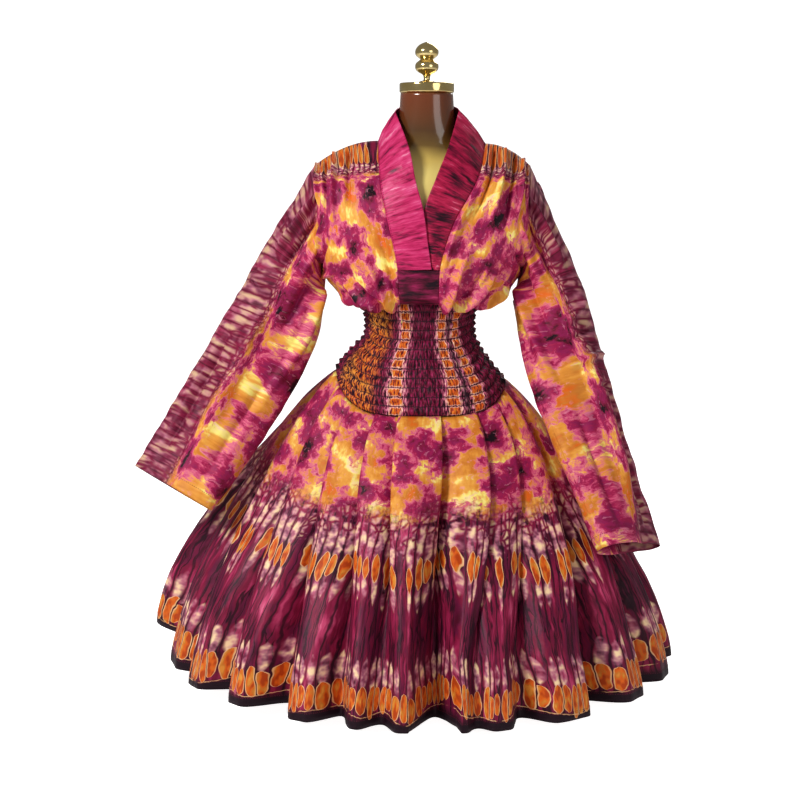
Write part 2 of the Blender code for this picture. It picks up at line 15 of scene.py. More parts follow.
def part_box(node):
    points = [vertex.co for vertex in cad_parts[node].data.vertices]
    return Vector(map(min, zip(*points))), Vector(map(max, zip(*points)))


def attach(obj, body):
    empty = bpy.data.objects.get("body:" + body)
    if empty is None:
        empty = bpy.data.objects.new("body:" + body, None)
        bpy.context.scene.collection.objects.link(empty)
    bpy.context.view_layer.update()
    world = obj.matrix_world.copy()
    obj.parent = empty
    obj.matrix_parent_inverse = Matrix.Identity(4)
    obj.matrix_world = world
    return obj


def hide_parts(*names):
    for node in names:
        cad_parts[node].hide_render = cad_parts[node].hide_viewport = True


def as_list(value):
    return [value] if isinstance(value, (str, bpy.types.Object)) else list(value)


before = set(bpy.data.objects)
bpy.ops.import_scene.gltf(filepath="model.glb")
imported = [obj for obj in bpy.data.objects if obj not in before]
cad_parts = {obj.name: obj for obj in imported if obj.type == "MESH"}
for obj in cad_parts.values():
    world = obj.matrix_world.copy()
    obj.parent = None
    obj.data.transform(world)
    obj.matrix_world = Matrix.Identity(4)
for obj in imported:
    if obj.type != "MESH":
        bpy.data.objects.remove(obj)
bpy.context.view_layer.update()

print("nodes:", len(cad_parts))

# %% [markdown]
# ## The camera and the light
# The photo was taken from about shoulder height, a few metres away and looking down a little, so the hem
# curves gently. Cotton print looks best in soft light: a broad lamp from the front left gives the folds
# their shape, and a pale room fills the shadows. The room is white to the eye but dim as a lamp, which
# keeps the folds dark inside.

# %% Camera, lamps and floor
CAMERA_PLACE = Vector((-0.041, -3.5, 0.95))
CAMERA_AIM = Vector((-0.041, 0.0, 0.516))
LENS = 85.1
SENSOR = 36.0
FLOOR_HALF = 6.0
ROOM_LIGHT = 0.25
SEEN_ROOM = 1.0
FLOOR_GLOW = 0.14
FLOOR_SEEN = 0.66


def aimed(item, place, aim):
    item.location = place
    item.rotation_euler = (aim - place).to_track_quat("-Z", "Y").to_euler()
    bpy.context.scene.collection.objects.link(item)


def lamp(name, place, aim, size, power):
    light = bpy.data.lights.new(name, "AREA")
    light.shape = "DISK"
    light.size = size
    light.energy = power
    aimed(bpy.data.objects.new(name, light), Vector(place), Vector(aim))


view = bpy.data.cameras.new("view")
view.lens = LENS
view.sensor_width = SENSOR
camera = bpy.data.objects.new("view", view)
aimed(camera, CAMERA_PLACE, CAMERA_AIM)
bpy.context.scene.camera = camera

lamp("key_lamp", (-2.1, -2.1, 2.6), (0, 0, 0.6), 0.9, 84)
lamp("fill_lamp", (2.2, -2.6, 1.5), (0, 0, 0.5), 1.8, 14)
lamp("back_lamp", (0.8, 2.2, 2.4), (0, 0, 0.7), 1.6, 24)

room = bpy.data.worlds.new("pale_room")
room.use_nodes = True
sky = room.node_tree.nodes["Background"]
sky.inputs["Color"].default_value = (1, 1, 1, 1)
seen = room.node_tree.nodes.new("ShaderNodeLightPath").outputs["Is Camera Ray"]
strength = room.node_tree.nodes.new("ShaderNodeMapRange")
strength.inputs["To Min"].default_value = ROOM_LIGHT
strength.inputs["To Max"].default_value = SEEN_ROOM
room.node_tree.links.new(seen, strength.inputs["Value"])
room.node_tree.links.new(strength.outputs[0], sky.inputs["Strength"])
bpy.context.scene.world = room
bpy.context.scene.view_settings.view_transform = "Standard"
bpy.context.scene.view_settings.look = "Medium High Contrast"
print("camera to dress:", round((CAMERA_PLACE - CAMERA_AIM).length, 2), "m")

# %% [markdown]
# ## A small language for shaders
# Dyed patterns are built from many small sums. A helper class adds a node, links what is a socket and
# sets what is a number, so each pattern below reads like a recipe.

# %% Node helpers
def colour(red, green, blue):
    """A screen colour from 0 to 255 as the linear colour that a shader wants."""
    def linear(part):
        part /= 255
        return part / 12.92 if part <= 0.04045 else ((part + 0.055) / 1.055) ** 2.4
    return (linear(red), linear(green), linear(blue), 1.0)


class Net:
    """Adds nodes to one tree. A socket given as an input is linked, and a value is set."""

    def __init__(self, tree):
        self.tree = tree

    def add(self, kind, inputs=None, **settings):
        node = self.tree.nodes.new(kind)
        for key, value in settings.items():
            setattr(node, key, value)
        for key, value in (inputs or {}).items():
            if isinstance(value, bpy.types.NodeSocket):
                self.tree.links.new(value, node.inputs[key])
            else:
                node.inputs[key].default_value = value
        return node

    def math(self, operation, a, b=0.0, c=0.0, clamp=False):
        node = self.add("ShaderNodeMath", {0: a, 1: b, 2: c}, operation=operation, use_clamp=clamp)
        return node.outputs[0]

    def plus(self, a, b):
        return self.math("ADD", a, b)

    def less(self, a, b, clamp=False):
        return self.math("SUBTRACT", a, b, clamp=clamp)

    def times(self, a, b):
        return self.math("MULTIPLY", a, b)

    def over(self, a, b):
        return self.math("DIVIDE", a, b)

    def times_plus(self, a, b, c):
        return self.math("MULTIPLY_ADD", a, b, c)

    def without_sign(self, a):
        return self.math("ABSOLUTE", a)

    def step(self, value, low, high):
        """0 below low, 1 above high, and smooth between; low may be the larger one."""
        node = self.add(
            "ShaderNodeMapRange",
            {"Value": value, "From Min": low, "From Max": high},
            interpolation_type="SMOOTHSTEP",
        )
        return node.outputs[0]

    def band(self, value, low, high, soft):
        """1 between low and high, with soft edges."""
        rising = self.step(value, low - soft, low + soft)
        falling = self.step(value, high + soft, high - soft)
        return self.times(rising, falling)

    def noise(self, vector, scale, detail=2.0, rough=0.5):
        inputs = {"Vector": vector, "Scale": scale, "Detail": detail, "Roughness": rough}
        return self.add("ShaderNodeTexNoise", inputs).outputs[0]

    def mix(self, factor, a, b):
        node = self.add("ShaderNodeMix", data_type="RGBA", clamp_factor=True)
        for key, value in ((0, factor), (6, a), (7, b)):
            if isinstance(value, bpy.types.NodeSocket):
                self.tree.links.new(value, node.inputs[key])
            else:
                node.inputs[key].default_value = value
        return node.outputs[2]

    def ramp(self, factor, stops):
        """A colour ramp from (place, colour) stops."""
        node = self.add("ShaderNodeValToRGB", {0: factor})
        points = node.color_ramp.elements
        while len(points) < len(stops):
            points.new(0.5)
        for point, (place, tint) in zip(points, stops):
            point.position = place
            point.color = tint
        return node.outputs[0]

    def scaled(self, vector, across, along):
        """The vector with its two directions scaled on their own."""
        inputs = {"Vector": vector, "Scale": (across, along, 1)}
        return self.add("ShaderNodeMapping", inputs).outputs[0]

    def stirred(self, vector, scale, amount):
        """The vector pushed about by a fine noise, which frays every edge drawn on it."""
        swirl = self.add("ShaderNodeTexNoise", {"Vector": vector, "Scale": scale, "Detail": 3.0})
        centred = self.add(
            "ShaderNodeVectorMath", {0: swirl.outputs[1], 1: (0.5, 0.5, 0.5)}, operation="SUBTRACT"
        )
        return self.add(
            "ShaderNodeVectorMath",
            {0: centred.outputs[0], 1: (amount, amount, 0), 2: vector},
            operation="MULTIPLY_ADD",
        ).outputs[0]


def group(name, ins, outs):
    """A new node group with its sockets, as (tree, net, inputs, output node)."""
    tree = bpy.data.node_groups.new(name, "ShaderNodeTree")
    for label, kind, value in ins:
        socket = tree.interface.new_socket(label, in_out="INPUT", socket_type=f"NodeSocket{kind}")
        if value is not None:
            socket.default_value = value
    for label, kind in outs:
        tree.interface.new_socket(label, in_out="OUTPUT", socket_type=f"NodeSocket{kind}")
    given = tree.nodes.new("NodeGroupInput").outputs
    return tree, Net(tree), given, tree.nodes.new("NodeGroupOutput").inputs


def use(net, tree, **inputs):
    """Places a group in a tree; an input's name is its socket's, with _ for a space."""
    return net.add("ShaderNodeGroup", {k.replace("_", " "): v for k, v in inputs.items()}, node_tree=tree)


print("node helpers are ready")

# %% [markdown]
# ## Weave and crumple
# The dress is plain woven cotton. Two relief patterns serve every panel: the weave itself, under a
# millimetre from thread to thread, and the faint crumples that cotton keeps after it is worn or folded.
# Both read the cloth's own flat coordinates in metres, so they follow each panel.

# %% Relief groups
THREAD_PITCH = 0.0007


def weave_group():
    tree, net, given, out = group("cotton_weave", [("Flat", "Vector", None)], [("Height", "Float")])
    part = net.add("ShaderNodeSeparateXYZ", {0: given["Flat"]}).outputs
    waves = []
    for axis in (0, 1):
        turn = net.times(part[axis], 2 * math.pi / THREAD_PITCH)
        waves.append(net.math("SINE", turn))
    net.tree.links.new(net.times_plus(waves[0], waves[1], 0.0), out["Height"])
    return tree


def crumple_group():
    """Soft dents over broad, sharp little ridges, both uneven from place to place."""
    tree, net, given, out = group("cotton_crumple", [("Flat", "Vector", None)], [("Height", "Float")])
    flat = net.stirred(given["Flat"], 14.0, 0.03)
    broad = net.noise(net.scaled(flat, 1.0, 0.6), 24.0, 3.0, 0.55)
    sharp = net.without_sign(net.less(net.noise(flat, 42.0, 2.0, 0.6), 0.5))
    where = net.step(net.noise(given["Flat"], 6.0, 1.0), 0.42, 0.62)
    ridges = net.times(net.times(sharp, -1.4), where)
    net.tree.links.new(net.plus(broad, ridges), out["Height"])
    return tree


WEAVE = weave_group()
CRUMPLE = crumple_group()
print("relief groups:", WEAVE.name, CRUMPLE.name)

# %% [markdown]
# ## The print
# Wax cotton of this kind copies tie-dye. Up from the hem come a near-black margin, a close row of orange
# knots, pale tongues above them, a deep plum field of dark veins, a second and looser row of pointed knots,
# columns of pale squares, and then golden ground with fringed magenta splashes. It is drawn in the flat
# cloth's metres, with the hem at 0. All rows share the same tie lines, as if the cloth had been pleated
# and bound, so the dark veins run between the knots and on through the field.

# %% Colours of the dye
INK = {
    "black_plum": colour(32, 4, 22),
    "maroon": colour(82, 10, 40),
    "plum": colour(126, 20, 58),
    "magenta": colour(160, 28, 76),
    "violet": colour(142, 28, 84),
    "rose": colour(196, 74, 114),
    "pink": colour(222, 146, 168),
    "cream": colour(244, 212, 168),
    "lemon": colour(240, 222, 122),
    "gold": colour(216, 144, 58),
    "ochre": colour(198, 122, 46),
    "orange": colour(214, 104, 28),
    "rust": colour(176, 70, 18),
}
print("inks:", len(INK))

# %% [markdown]
# ## Tie lines and knots
# A tied cloth shows two things: the lines where the thread bit, and a knot of undyed or twice dyed cloth
# between two of them. The lines wander up the cloth at uneven distances. Each row of knots asks how far a
# place is from the nearest line and from the middle between two, so that no knot can cross a line.

# %% Tie lines and knots
TIE_PERIOD = 0.0190  # mean distance between two tie lines
LOWER_ROW = 0.050  # height of the knots near the hem
UPPER_ROW = 0.288  # height of the looser knots above the field


def tie_lines_group():
    """The distances to the nearest tie line and to the middle between two, in metres, and luck that is
    the same between two lines."""
    tree, net, given, out = group(
        "tie_lines",
        [("Flat", "Vector", None)],
        [("Gap", "Float"), ("Off", "Float"), ("Luck", "Color"), ("Across", "Float")],
    )
    flat = given["Flat"]
    part = net.add("ShaderNodeSeparateXYZ", {0: flat}).outputs
    slow = net.less(net.noise(net.scaled(flat, 1.0, 0.45), 11.0, 1.0), 0.5)
    quick = net.less(net.noise(net.scaled(flat, 1.0, 0.5), 85.0, 1.0), 0.5)
    bent = net.times_plus(slow, 0.050, part[0])
    across = net.times_plus(quick, 0.006, bent)
    cell = net.over(across, TIE_PERIOD)
    inputs = {"W": cell, "Scale": 1.0, "Randomness": 0.62}
    edge = net.add(
        "ShaderNodeTexVoronoi", inputs, voronoi_dimensions="1D", feature="DISTANCE_TO_EDGE"
    ).outputs["Distance"]
    cells = net.add("ShaderNodeTexVoronoi", inputs, voronoi_dimensions="1D").outputs
    net.tree.links.new(net.times(edge, TIE_PERIOD), out["Gap"])
    net.tree.links.new(net.times(cells["Distance"], TIE_PERIOD), out["Off"])
    net.tree.links.new(cells["Color"], out["Luck"])
    net.tree.links.new(across, out["Across"])
    return tree


def tied_row_group():
    """One row of knots between the tie lines: how deep a place lies inside its knot, in metres."""
    tree, net, given, out = group(
        "tied_row",
        [
            ("Gap", "Float", 0.0),
            ("Off", "Float", 0.0),
            ("Luck", "Color", None),
            ("Rise", "Float", 0.0),
            ("Row", "Float", 0.05),
            ("Half Height", "Float", 0.027),
            ("Half Width", "Float", 0.010),
            ("Point", "Float", 0.5),
            ("Share", "Float", 1.0),
        ],
        [("Depth", "Float")],
    )
    luck = net.add("ShaderNodeSeparateColor", {0: given["Luck"]}).outputs
    height = net.times(given["Half Height"], net.times_plus(luck[0], 0.50, 0.74))
    middle = net.times_plus(net.less(luck[1], 0.5), 0.011, given["Row"])
    away = net.without_sign(net.less(given["Rise"], middle))
    along = net.math("POWER", net.over(away, height), 2.0)
    oval = net.math("POWER", net.less(1.0, along, clamp=True), given["Point"])
    width = net.times_plus(given["Half Width"], oval, -0.0007)
    lens = net.less(width, given["Off"])
    inside = net.math("SMOOTH_MIN", lens, net.less(given["Gap"], 0.0008), 0.0016)
    missing = net.math("GREATER_THAN", luck[2], given["Share"])
    net.tree.links.new(net.less(inside, missing), out["Depth"])
    return tree


TIE_LINES = tie_lines_group()
TIED_ROW = tied_row_group()
print("tie groups:", TIE_LINES.name, TIED_ROW.name)

# %% [markdown]
# ## Gold, field and squares
# Three grounds fill the cloth between the rows. The gold has magenta splashes whose edges are frayed by
# fine noise. The plum field is streaked along the cloth, with dark veins. The pale squares are cells
# stacked between the tie lines.

# %% The grounds of the print
def splashes(net, flat):
    """The golden ground with its fringed magenta splashes, some with a dark heart."""
    frayed = net.stirred(flat, 60.0, 0.024)
    fringe = net.less(net.noise(net.scaled(frayed, 1.0, 0.8), 210.0, 3.0, 0.7), 0.5)
    tide = net.times_plus(fringe, 0.19, net.noise(frayed, 14.0, 3.0, 0.56))
    tide = net.plus(tide, 0.012)
    grain = net.less(net.noise(net.scaled(flat, 1.0, 0.35), 150.0, 2.0), 0.5)
    warm = net.times_plus(grain, 0.20, net.noise(frayed, 15.0, 3.0, 0.6))
    ground = net.ramp(
        warm,
        [(0.33, INK["orange"]), (0.42, INK["ochre"]), (0.49, INK["gold"]), (0.560, colour(226, 164, 76)),
         (0.62, INK["lemon"]), (0.71, INK["cream"])],
    )
    dyed = net.ramp(
        tide,
        [(0.470, colour(224, 142, 98)), (0.500, colour(206, 104, 128)), (0.522, INK["rose"]),
         (0.548, INK["magenta"]), (0.595, INK["violet"]), (0.640, INK["plum"]), (0.680, colour(26, 3, 18))],
    )
    splashed = net.mix(net.step(tide, 0.456, 0.488), ground, dyed)
    specks = net.times(net.step(net.noise(frayed, 120.0, 2.0), 0.60, 0.68), 0.40)
    return net.mix(specks, splashed, INK["pink"])


def veined_field(net, flat, gap):
    """Plum cloth with pink smears, and dark veins along the tie lines and between them."""
    frayed = net.stirred(flat, 30.0, 0.014)
    fine = net.noise(net.scaled(frayed, 1.0, 0.14), 90.0, 2.0, 0.6)
    broad = net.noise(net.scaled(frayed, 1.0, 0.40), 19.0, 2.0, 0.5)
    tone = net.times_plus(fine, 0.5, net.times(broad, 0.5))
    dyed = net.ramp(
        tone,
        [(0.38, INK["maroon"]), (0.46, colour(104, 20, 60)), (0.52, INK["plum"]), (0.58, colour(150, 36, 78)),
         (0.65, INK["rose"]), (0.76, INK["pink"])],
    )
    vein = net.less(net.noise(net.scaled(frayed, 1.0, 0.11), 58.0, 2.0, 0.55), 0.5)
    where = net.step(broad, 0.70, 0.50)
    thin = net.times(net.step(net.without_sign(vein), 0.034, 0.008), where)
    faded = net.step(net.noise(net.scaled(flat, 1.0, 0.35), 34.0, 2.0), 0.32, 0.52)
    tied = net.times(net.step(gap, 0.0022, 0.0005), faded)
    return net.mix(net.times(net.math("MAXIMUM", thin, tied), 0.85), dyed, INK["black_plum"])


def pale_squares(net, rise, across, gap):
    """Depth inside pale squares that are stacked between the tie lines."""
    spot = net.add("ShaderNodeCombineXYZ", {0: across, 1: rise, 2: 0.0}).outputs[0]
    cells = net.add(
        "ShaderNodeTexVoronoi",
        {"Vector": net.scaled(spot, 62.0, 58.0), "Scale": 1.0, "Randomness": 0.75},
        voronoi_dimensions="2D",
        feature="DISTANCE_TO_EDGE",
    ).outputs["Distance"]
    within = net.less(net.over(cells, 60.0), 0.0010)
    return net.math("SMOOTH_MIN", within, net.less(gap, 0.0006), 0.002)


print("grounds:", splashes.__name__, veined_field.__name__, pale_squares.__name__)

# %% [markdown]
# ## The whole print
# The print is put together by its height above the hem: each ground fades into the next, and the rows of
# tongues and knots are laid over them. The heights sway a little along the cloth, as they do on cloth that
# was bound by hand.

# %% The whole print
TONGUES = [
    # height, half its length, half its width, how pointed it is, and the share of places that has one
    (0.098, 0.034, 0.0120, 0.8, 0.90),
    (0.330, 0.040, 0.0110, 0.8, 0.94),
    (0.252, 0.034, 0.0090, 0.9, 0.86),
]
KNOTS = [
    (LOWER_ROW, 0.026, 0.0118, 0.42, 1.0),
    (UPPER_ROW, 0.027, 0.0092, 0.70, 0.86),
]


def wax_print_group():
    tree, net, given, out = group("wax_print", [("Flat", "Vector", None)], [("Color", "Color")])
    flat = given["Flat"]
    part = net.add("ShaderNodeSeparateXYZ", {0: flat}).outputs
    ties = use(net, TIE_LINES, Flat=flat).outputs
    slow = net.less(net.noise(net.scaled(flat, 1.0, 0.15), 6.0, 1.0), 0.5)
    fray = net.less(net.noise(flat, 130.0, 2.0), 0.5)
    rise = net.times_plus(fray, 0.005, net.times_plus(slow, 0.070, part[1]))
    edge = net.times_plus(fray, 0.070, rise)

    def row(middle, height, width, point, share):
        knots = use(net, TIED_ROW, Gap=ties["Gap"], Off=ties["Off"], Luck=ties["Luck"], Rise=rise,
                    Row=middle, Half_Height=height, Half_Width=width, Point=point, Share=share)
        return knots.outputs["Depth"]

    field = veined_field(net, flat, ties["Gap"])
    blush = net.noise(flat, 48.0, 2.0)
    wash = net.mix(net.step(blush, 0.44, 0.68), INK["pink"], INK["cream"])
    depth = pale_squares(net, rise, ties["Across"], ties["Gap"])
    squares = net.times(net.step(depth, -0.0004, 0.0044), net.step(blush, 0.36, 0.56))
    dyed = net.mix(net.step(edge, 0.33, 0.42), colour(108, 20, 58), INK["magenta"])
    dark_ladder = net.mix(net.step(blush, 0.42, 0.60), field, dyed)
    ladder = net.mix(net.times(squares, 0.80), dark_ladder, wash)
    paint = net.mix(net.step(edge, 0.314, 0.334), field, ladder)
    for shape in TONGUES:
        tongue = net.step(row(*shape), -0.0004, 0.0046)
        paint = net.mix(net.times(tongue, net.step(blush, 0.28, 0.70)), paint, wash)
    paint = net.mix(net.step(edge, 0.378, 0.428), paint, splashes(net, flat))
    margin = net.mix(net.step(part[1], 0.012, 0.032), INK["black_plum"], field)
    paint = net.mix(net.step(rise, 0.030, 0.018), paint, margin)

    glow = net.noise(net.scaled(flat, 1.0, 0.4), 110.0, 1.0)
    fire = net.ramp(
        glow, [(0.40, INK["rust"]), (0.52, INK["orange"]), (0.60, INK["ochre"]), (0.68, INK["gold"])]
    )
    rim = net.mix(blush, INK["ochre"], INK["cream"])
    for shape in KNOTS:
        depth = row(*shape)
        paint = net.mix(net.step(depth, -0.0003, 0.0003), paint, rim)
        paint = net.mix(net.step(depth, 0.0009, 0.0020), paint, fire)
    thread = net.band(rise, 0.0215, 0.0228, 0.0006)
    paint = net.mix(net.times(thread, net.step(blush, 0.36, 0.50)), paint, rim)
    net.tree.links.new(paint, out["Color"])
    return tree


WAX_PRINT = wax_print_group()
print("print group:", len(WAX_PRINT.nodes), "nodes")

# %% [markdown]
# ## Cloth materials
# Waxed cotton is smooth and has a little gloss on its ridges. One function makes each cloth: the print
# gives the colour, the crumples and the weave give the relief, and a faint sheen softens the edges of the
# folds. The inside of such cloth is paler, because the dye doesn't go all the way through.

# %% Cloth materials
def cloth_material(name, paint, roughness=0.55, crumple=0.0032, worn=0.0):
    """paint(net, flat) gives the colour socket."""
    material = bpy.data.materials.new(name)
    material.use_nodes = True
    net = Net(material.node_tree)
    shader = material.node_tree.nodes["Principled BSDF"]
    flat = net.add("ShaderNodeUVMap", uv_map="cloth").outputs[0]
    front = paint(net, flat)
    back = net.mix(0.45, front, INK["pink"])
    behind = net.add("ShaderNodeNewGeometry").outputs["Backfacing"]
    net.tree.links.new(net.mix(net.times(behind, worn), front, back), shader.inputs["Base Color"])
    crumpled = net.add(
        "ShaderNodeBump",
        {"Height": use(net, CRUMPLE, Flat=flat).outputs[0], "Strength": 0.55, "Distance": crumple},
    ).outputs[0]
    woven = net.add(
        "ShaderNodeBump",
        {"Height": use(net, WEAVE, Flat=flat).outputs[0], "Strength": 0.12, "Distance": 0.0001,
         "Normal": crumpled},
    ).outputs[0]
    net.tree.links.new(woven, shader.inputs["Normal"])
    shine = net.times_plus(net.noise(flat, 30.0, 2.0), 0.16, roughness - 0.08)
    net.tree.links.new(shine, shader.inputs["Roughness"])
    shader.inputs["Specular IOR Level"].default_value = 0.30
    shader.inputs["Sheen Weight"].default_value = 0.02
    shader.inputs["Sheen Roughness"].default_value = 0.5
    return material


def print_paint(net, flat):
    return use(net, WAX_PRINT, Flat=flat).outputs[0]


PRINT_CLOTH = cloth_material("wax_print_cotton", print_paint, worn=1.0)
print("main cloth:", PRINT_CLOTH.name)

# %% [markdown]
# ## The waistband's print
# The waistband is cut so that rows of knots stand upright on it. Between them are plum cloth, broken gold
# and near-black stripes. The gathers pull all of it into streaks, and a dark line is painted along each
# elastic row as shade in the valley between two tunnels.

# %% The waistband's print
# Places along the waist in metres from the centre front, counted towards the wearer's left.
WAIST_COLUMNS = (-0.046, 0.054, 0.098, 0.335, 0.430, 0.520, 0.640)
WAIST_GOLD = ((-0.170, -0.085), (0.245, 0.310), (0.560, 0.615))
WAIST_BLACK = (0.075, -0.215, 0.200, 0.385)
SHIRR_PITCH = 0.0166


def waist_paint(net, flat):
    """Columns of knots on plum cloth, cut into rows and streaks by the gathers, with painted shade along each
    elastic row.
    """
    part = net.add("ShaderNodeSeparateXYZ", {0: flat}).outputs
    slow = net.less(net.noise(net.scaled(flat, 0.4, 1.0), 17.0, 2.0), 0.5)
    quick = net.less(net.noise(net.scaled(flat, 1.0, 0.5), 210.0, 2.0), 0.5)
    arc = net.times_plus(quick, 0.010, net.times_plus(slow, 0.030, part[0]))
    streak = net.noise(net.scaled(flat, 1.0, 0.20), 380.0, 2.0, 0.6)
    drop = net.times_plus(quick, 0.006, part[1])
    row = net.math("FRACT", net.over(drop, SHIRR_PITCH))
    level = net.times(net.without_sign(net.less(row, 0.5)), SHIRR_PITCH)
    paint = net.ramp(
        streak,
        [(0.40, INK["black_plum"]), (0.47, colour(78, 10, 40)), (0.55, INK["plum"]), (0.64, INK["violet"]),
         (0.76, INK["rose"])],
    )
    gold = net.ramp(
        streak, [(0.40, INK["maroon"]), (0.45, INK["rust"]), (0.54, INK["orange"]), (0.66, INK["gold"])]
    )
    wash = net.ramp(
        streak, [(0.38, INK["plum"]), (0.48, INK["rose"]), (0.58, INK["pink"]), (0.68, INK["cream"])]
    )
    for low, high in WAIST_GOLD:
        torn = net.times(net.band(arc, low, high, 0.014), net.step(streak, 0.46, 0.56))
        paint = net.mix(torn, paint, net.mix(net.step(slow, 0.0, 0.08), gold, INK["gold"]))
    for place in WAIST_BLACK:
        paint = net.mix(net.band(arc, place - 0.008, place + 0.008, 0.004), paint, INK["black_plum"])
    for place in WAIST_COLUMNS:
        away = net.without_sign(net.less(arc, place))
        halo = net.times(net.step(away, 0.024, 0.012), net.step(streak, 0.40, 0.56))
        paint = net.mix(halo, paint, wash)
        oval = net.math("MAXIMUM", net.times(away, 0.62), level)
        paint = net.mix(net.step(oval, 0.0074, 0.0064), paint, net.mix(streak, wash, INK["cream"]))
        paint = net.mix(net.step(oval, 0.0062, 0.0052), paint, gold)
    # painted shade: a near-black line along each elastic row, in the valley between two puffed tunnels
    line = net.times(net.step(level, 0.0064, 0.0080), 0.80)
    return net.mix(line, paint, INK["black_plum"])


WAIST_CLOTH = cloth_material("shirred_wax_print", waist_paint, roughness=0.6, crumple=0.0008)
print("waist columns:", len(WAIST_COLUMNS))

# %% [markdown]
# ## Sleeves and neck band
# On the sleeves the ladder of the print is dyed a second time, so it is darker than on the skirt. The neck
# band comes from streaked cloth: bright on the wearer's right, deeper on the left, and plum on the insert.

# %% Sleeves and neck band
def sleeve_paint(net, flat):
    """The print, with the ladder along the outer fold dyed a second time."""
    printed = print_paint(net, flat)
    height = net.add("ShaderNodeSeparateXYZ", {0: flat}).outputs[1]
    return net.mix(net.times(net.step(height, 0.42, 0.38), 0.40), printed, colour(120, 14, 52))


def band_paint(stops):
    def paint(net, flat):
        frayed = net.stirred(net.stirred(flat, 20.0, 0.010), 90.0, 0.004)
        fine = net.noise(net.scaled(frayed, 1.0, 0.16), 150.0, 3.0, 0.62)
        broad = net.noise(net.scaled(frayed, 1.0, 0.5), 26.0, 2.0, 0.5)
        tone = net.plus(net.times(fine, 0.55), net.times(broad, 0.45))
        return net.ramp(tone, stops)
    return paint


BRIGHT_BAND = [(0.33, INK["black_plum"]), (0.39, colour(106, 14, 58)), (0.445, colour(168, 28, 82)),
               (0.51, colour(194, 46, 102)), (0.59, colour(208, 72, 124)), (0.67, INK["pink"]),
               (0.75, INK["cream"])]
DEEP_BAND = [(0.37, INK["black_plum"]), (0.43, INK["maroon"]), (0.48, colour(132, 14, 56)),
             (0.54, colour(166, 26, 70)), (0.61, colour(186, 46, 88)), (0.68, INK["pink"]),
             (0.75, INK["cream"])]
PLUM_BAND = [(0.38, INK["black_plum"]), (0.45, INK["maroon"]), (0.51, colour(118, 18, 62)),
             (0.58, colour(150, 34, 84)), (0.68, INK["rose"])]

SLEEVE_CLOTH = cloth_material("sleeve_wax_print", sleeve_paint, crumple=0.0040, worn=1.0)
BRIGHT_CLOTH = cloth_material("bright_band_cotton", band_paint(BRIGHT_BAND), roughness=0.45, worn=1.0)
DEEP_CLOTH = cloth_material("deep_band_cotton", band_paint(DEEP_BAND), roughness=0.45, worn=1.0)
INSERT_CLOTH = cloth_material("plum_insert_cotton", band_paint(PLUM_BAND), roughness=0.5)
print("cloth materials:", sum(m.name.endswith(("cotton", "print")) for m in bpy.data.materials))

# %% [markdown]
# ## Lacquer, brass, steel and floor
# The form is lacquered: reddish brown at the neck, and golden where the chest shows in the opening of the
# dress. Its cap and knob are polished brass. Pole and foot are satin black and hidden by the skirt.

# %% Hard materials
def hard_material(name, paint, roughness, metallic=0.0, coat=0.0):
    """paint(net, place) gives the colour socket from the place in metres."""
    material = bpy.data.materials.new(name)
    material.use_nodes = True
    net = Net(material.node_tree)
    shader = material.node_tree.nodes["Principled BSDF"]
    place = net.add("ShaderNodeTexCoord").outputs["Object"]
    net.tree.links.new(paint(net, place), shader.inputs["Base Color"])
    smear = net.noise(place, 22.0, 3.0, 0.6)
    net.tree.links.new(net.times_plus(smear, 0.10, roughness - 0.05), shader.inputs["Roughness"])
    shader.inputs["Metallic"].default_value = metallic
    shader.inputs["Coat Weight"].default_value = coat
    shader.inputs["Coat Roughness"].default_value = 0.06
    return material


def lacquer_paint(net, place):
    height = net.add("ShaderNodeSeparateXYZ", {0: place}).outputs[2]
    uneven = net.times_plus(net.noise(place, 9.0, 2.0), 0.03, height)
    return net.ramp(
        net.step(uneven, 0.93, 1.10),
        [(0.0, colour(236, 214, 130)), (0.16, colour(214, 186, 100)), (0.36, colour(116, 90, 44)),
         (0.60, colour(92, 62, 34)), (1.0, colour(112, 58, 30))],
    )


def brass_paint(net, place):
    return net.mix(net.noise(place, 60.0, 2.0), colour(232, 214, 164), colour(206, 178, 112))


def stand_paint(net, place):
    return net.mix(net.noise(place, 80.0, 2.0), colour(22, 22, 24), colour(34, 34, 36))


def floor_paint(net, place):
    return net.mix(net.noise(place, 3.0, 2.0), colour(246, 246, 246), colour(250, 250, 250))


LACQUER = hard_material("brown_lacquer", lacquer_paint, 0.20, coat=0.8)
BRASS = hard_material("polished_brass", brass_paint, 0.14, metallic=1.0)
STAND = hard_material("satin_black", stand_paint, 0.45, metallic=0.6)
FLOOR = hard_material("pale_floor", floor_paint, 0.85)


def floor_glow(material):
    """The floor looks as white as the room, but throws little light up into the folds."""
    tree = material.node_tree
    shader = tree.nodes["Principled BSDF"]
    shader.inputs["Emission Color"].default_value = (1, 1, 1, 1)
    seen = tree.nodes.new("ShaderNodeLightPath").outputs["Is Camera Ray"]
    strength = Net(tree).times_plus(seen, FLOOR_SEEN, FLOOR_GLOW)
    tree.links.new(strength, shader.inputs["Emission Strength"])


def floor():
    bm = bmesh.new()
    bmesh.ops.create_grid(bm, x_segments=2, y_segments=2, size=FLOOR_HALF)
    mesh = bpy.data.meshes.new("floor")
    bm.to_mesh(mesh)
    bm.free()
    mesh.materials.append(FLOOR)
    item = bpy.data.objects.new("floor", mesh)
    bpy.context.scene.collection.objects.link(item)


floor_glow(FLOOR)
floor()
for name in ("pole", "base_plate"):
    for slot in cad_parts[name].material_slots:
        slot.material = STAND
print("hard materials:", LACQUER.name, BRASS.name, STAND.name, FLOOR.name)

# %% [markdown]
# ## Sizes of the dress
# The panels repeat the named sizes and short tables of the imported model, so each thin cloth starts from
# the form of its solid. A table gives a value at any height or share by a smooth line through its few rows.
# Right and left are the wearer's, so the right side lies at -X, and the front faces -Y.

